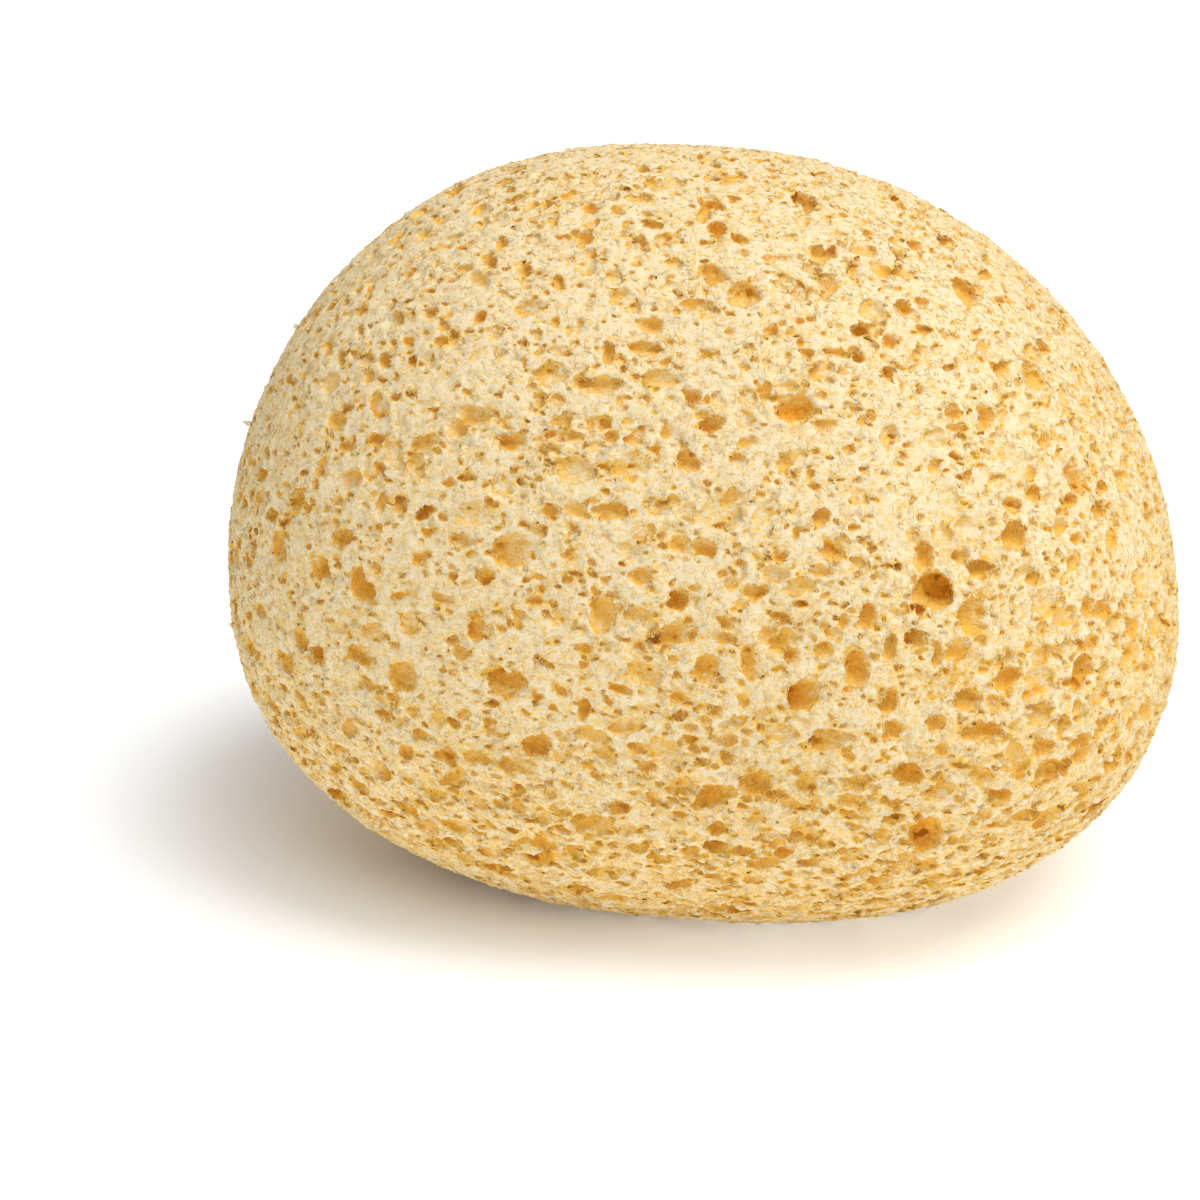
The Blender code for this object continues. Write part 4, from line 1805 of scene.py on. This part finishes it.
@dataclass
class Studio:
    """The pale floor, with a painted soft shadow round the sponge, the soft light and the camera."""

    sight: Sight
    floor_size: float = 12.0
    floor_colour: tuple = (0.93, 0.93, 0.945, 1)
    floor_roughness: float = 0.8
    floor_gloss: float = 0.1
    # The floor glows to stay white, except round the sponge where the glow is withheld as a painted
    # soft shadow; its cool tint greys that shadow
    floor_glow: float = 0.55
    glow_colour: tuple = (0.86, 0.94, 1.0, 1)
    shade_middle: tuple[float, float, float] = (-0.03, 0.02, 0.0)
    painted_shadow_ring: tuple[float, float] = (0.03, 0.07)
    far_ring: tuple[float, float] = (0.3, 3.0)
    painted_shadow_share: float = 0.66
    sky_strength: float = 0.47
    sky_colour: tuple = (1.0, 0.98, 0.945, 1)
    sensor: float = 36.0
    clip: tuple[float, float] = (0.01, 50.0)
    lights: tuple[SoftLight, ...] = (
        SoftLight("key_window", (0.45, -0.2, 1.05), 0.7, 8.2, (1.0, 0.985, 0.96)),
        SoftLight("front_fill", (0.2, -1.2, 0.8), 1.0, 1.4),
        SoftLight("back_fill", (-0.1, 1.3, 0.8), 1.0, 1.0),
    )

    def build(self) -> None:
        """Set everything up."""
        self.lay_floor()
        for light in self.lights:
            light.hang(self.sight.target)
        world = bpy.data.worlds.new("soft_white")
        world.use_nodes = True
        sky = world.node_tree.nodes["Background"]
        sky.inputs["Color"].default_value = self.sky_colour
        sky.inputs["Strength"].default_value = self.sky_strength
        bpy.context.scene.world = world
        bpy.context.scene.view_settings.view_transform = "Standard"
        self.place_camera()

    def lay_floor(self) -> None:
        """Lay a wide floor that glows away from the sponge's shade, its glow withheld round the sponge
        as a painted soft shadow.
        """
        deselect_all()
        bpy.ops.mesh.primitive_plane_add(size=self.floor_size, location=(0, 0, 0))
        floor = bpy.context.object
        floor.name = "studio_floor"
        n = Node("white_floor")
        place = n.wire(n.add("ShaderNodeTexCoord"), "Object")
        out = n.wire(n.add("ShaderNodeVectorMath", {"operation": "DISTANCE"}, {
            0: place, 1: self.shade_middle,
        }), "Value")
        # Painted shadow: no glow near the sponge, full glow far away
        share = n.ramp(out, *self.painted_shadow_ring) * self.painted_shadow_share
        share = share + n.ramp(out, *self.far_ring) * (1 - self.painted_shadow_share)
        glow = n.blend(share, (0, 0, 0, 1), self.glow_colour)
        shader = n.add("ShaderNodeBsdfPrincipled", {}, {
            "Base Color": self.floor_colour, "Roughness": self.floor_roughness,
            "Specular IOR Level": self.floor_gloss, "Emission Color": glow,
            "Emission Strength": self.floor_glow,
        })
        n.add("ShaderNodeOutputMaterial", {}, {"Surface": n.wire(shader)})
        n.material.cycles.emission_sampling = "NONE"
        floor.data.materials.append(n.material)

    def place_camera(self) -> None:
        """Put the camera where the photograph was taken from, aimed at its frame's middle."""
        deselect_all()
        bpy.ops.object.camera_add(location=self.sight.eye())
        camera = bpy.context.object
        camera.name = "photograph_view"
        middle = FRAME_PIXELS / 2
        aim = self.sight.ray(middle, middle)
        camera.rotation_euler = aim.to_track_quat("-Z", "Y").to_euler()
        camera.data.sensor_width = self.sensor
        camera.data.lens = self.sight.focal_length_pixels / FRAME_PIXELS * self.sensor
        camera.data.clip_start, camera.data.clip_end = self.clip
        bpy.context.scene.camera = camera


def dress(piece: bpy.types.Object, material: bpy.types.Material) -> None:
    """Give a piece its finish and tie it to the sponge's body.

    Args:
        piece: The piece.
        material: Its finish.
    """
    piece.data.materials.clear()
    piece.data.materials.append(material)
    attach(piece, BODY)


def main() -> None:
    """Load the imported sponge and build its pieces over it."""
    logging.basicConfig(level=logging.INFO)
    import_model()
    low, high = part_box(NODE)
    form = SpongeForm(length=round(high[0] - low[0], 4), depth=round(high[1] - low[1], 4))
    sight = Sight()

    pores = PoreField(form, sight)
    mass = SpongeMass(form, pores)
    mass.build()
    dress(mass.piece, SpongeColourAndShade().material())
    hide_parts(NODE)
    log.info("sponge mass built")

    felt_finish = FibreFinish().material()
    felts = (
        FibreFelt(form, mass, "felt_fibres_a", seed=11),
        FibreFelt(form, mass, "felt_fibres_b", seed=12),
    )
    for felt in felts:
        dress(felt.build(), felt_finish)
        log.info("%s: %d faces", felt.name, len(felt.piece.data.polygons))

    tufts = EdgeTufts(form, sight, pores.surface)
    dress(tufts.build(), felt_finish)

    Studio(sight).build()
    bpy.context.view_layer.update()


if __name__ == "__main__":
    main()
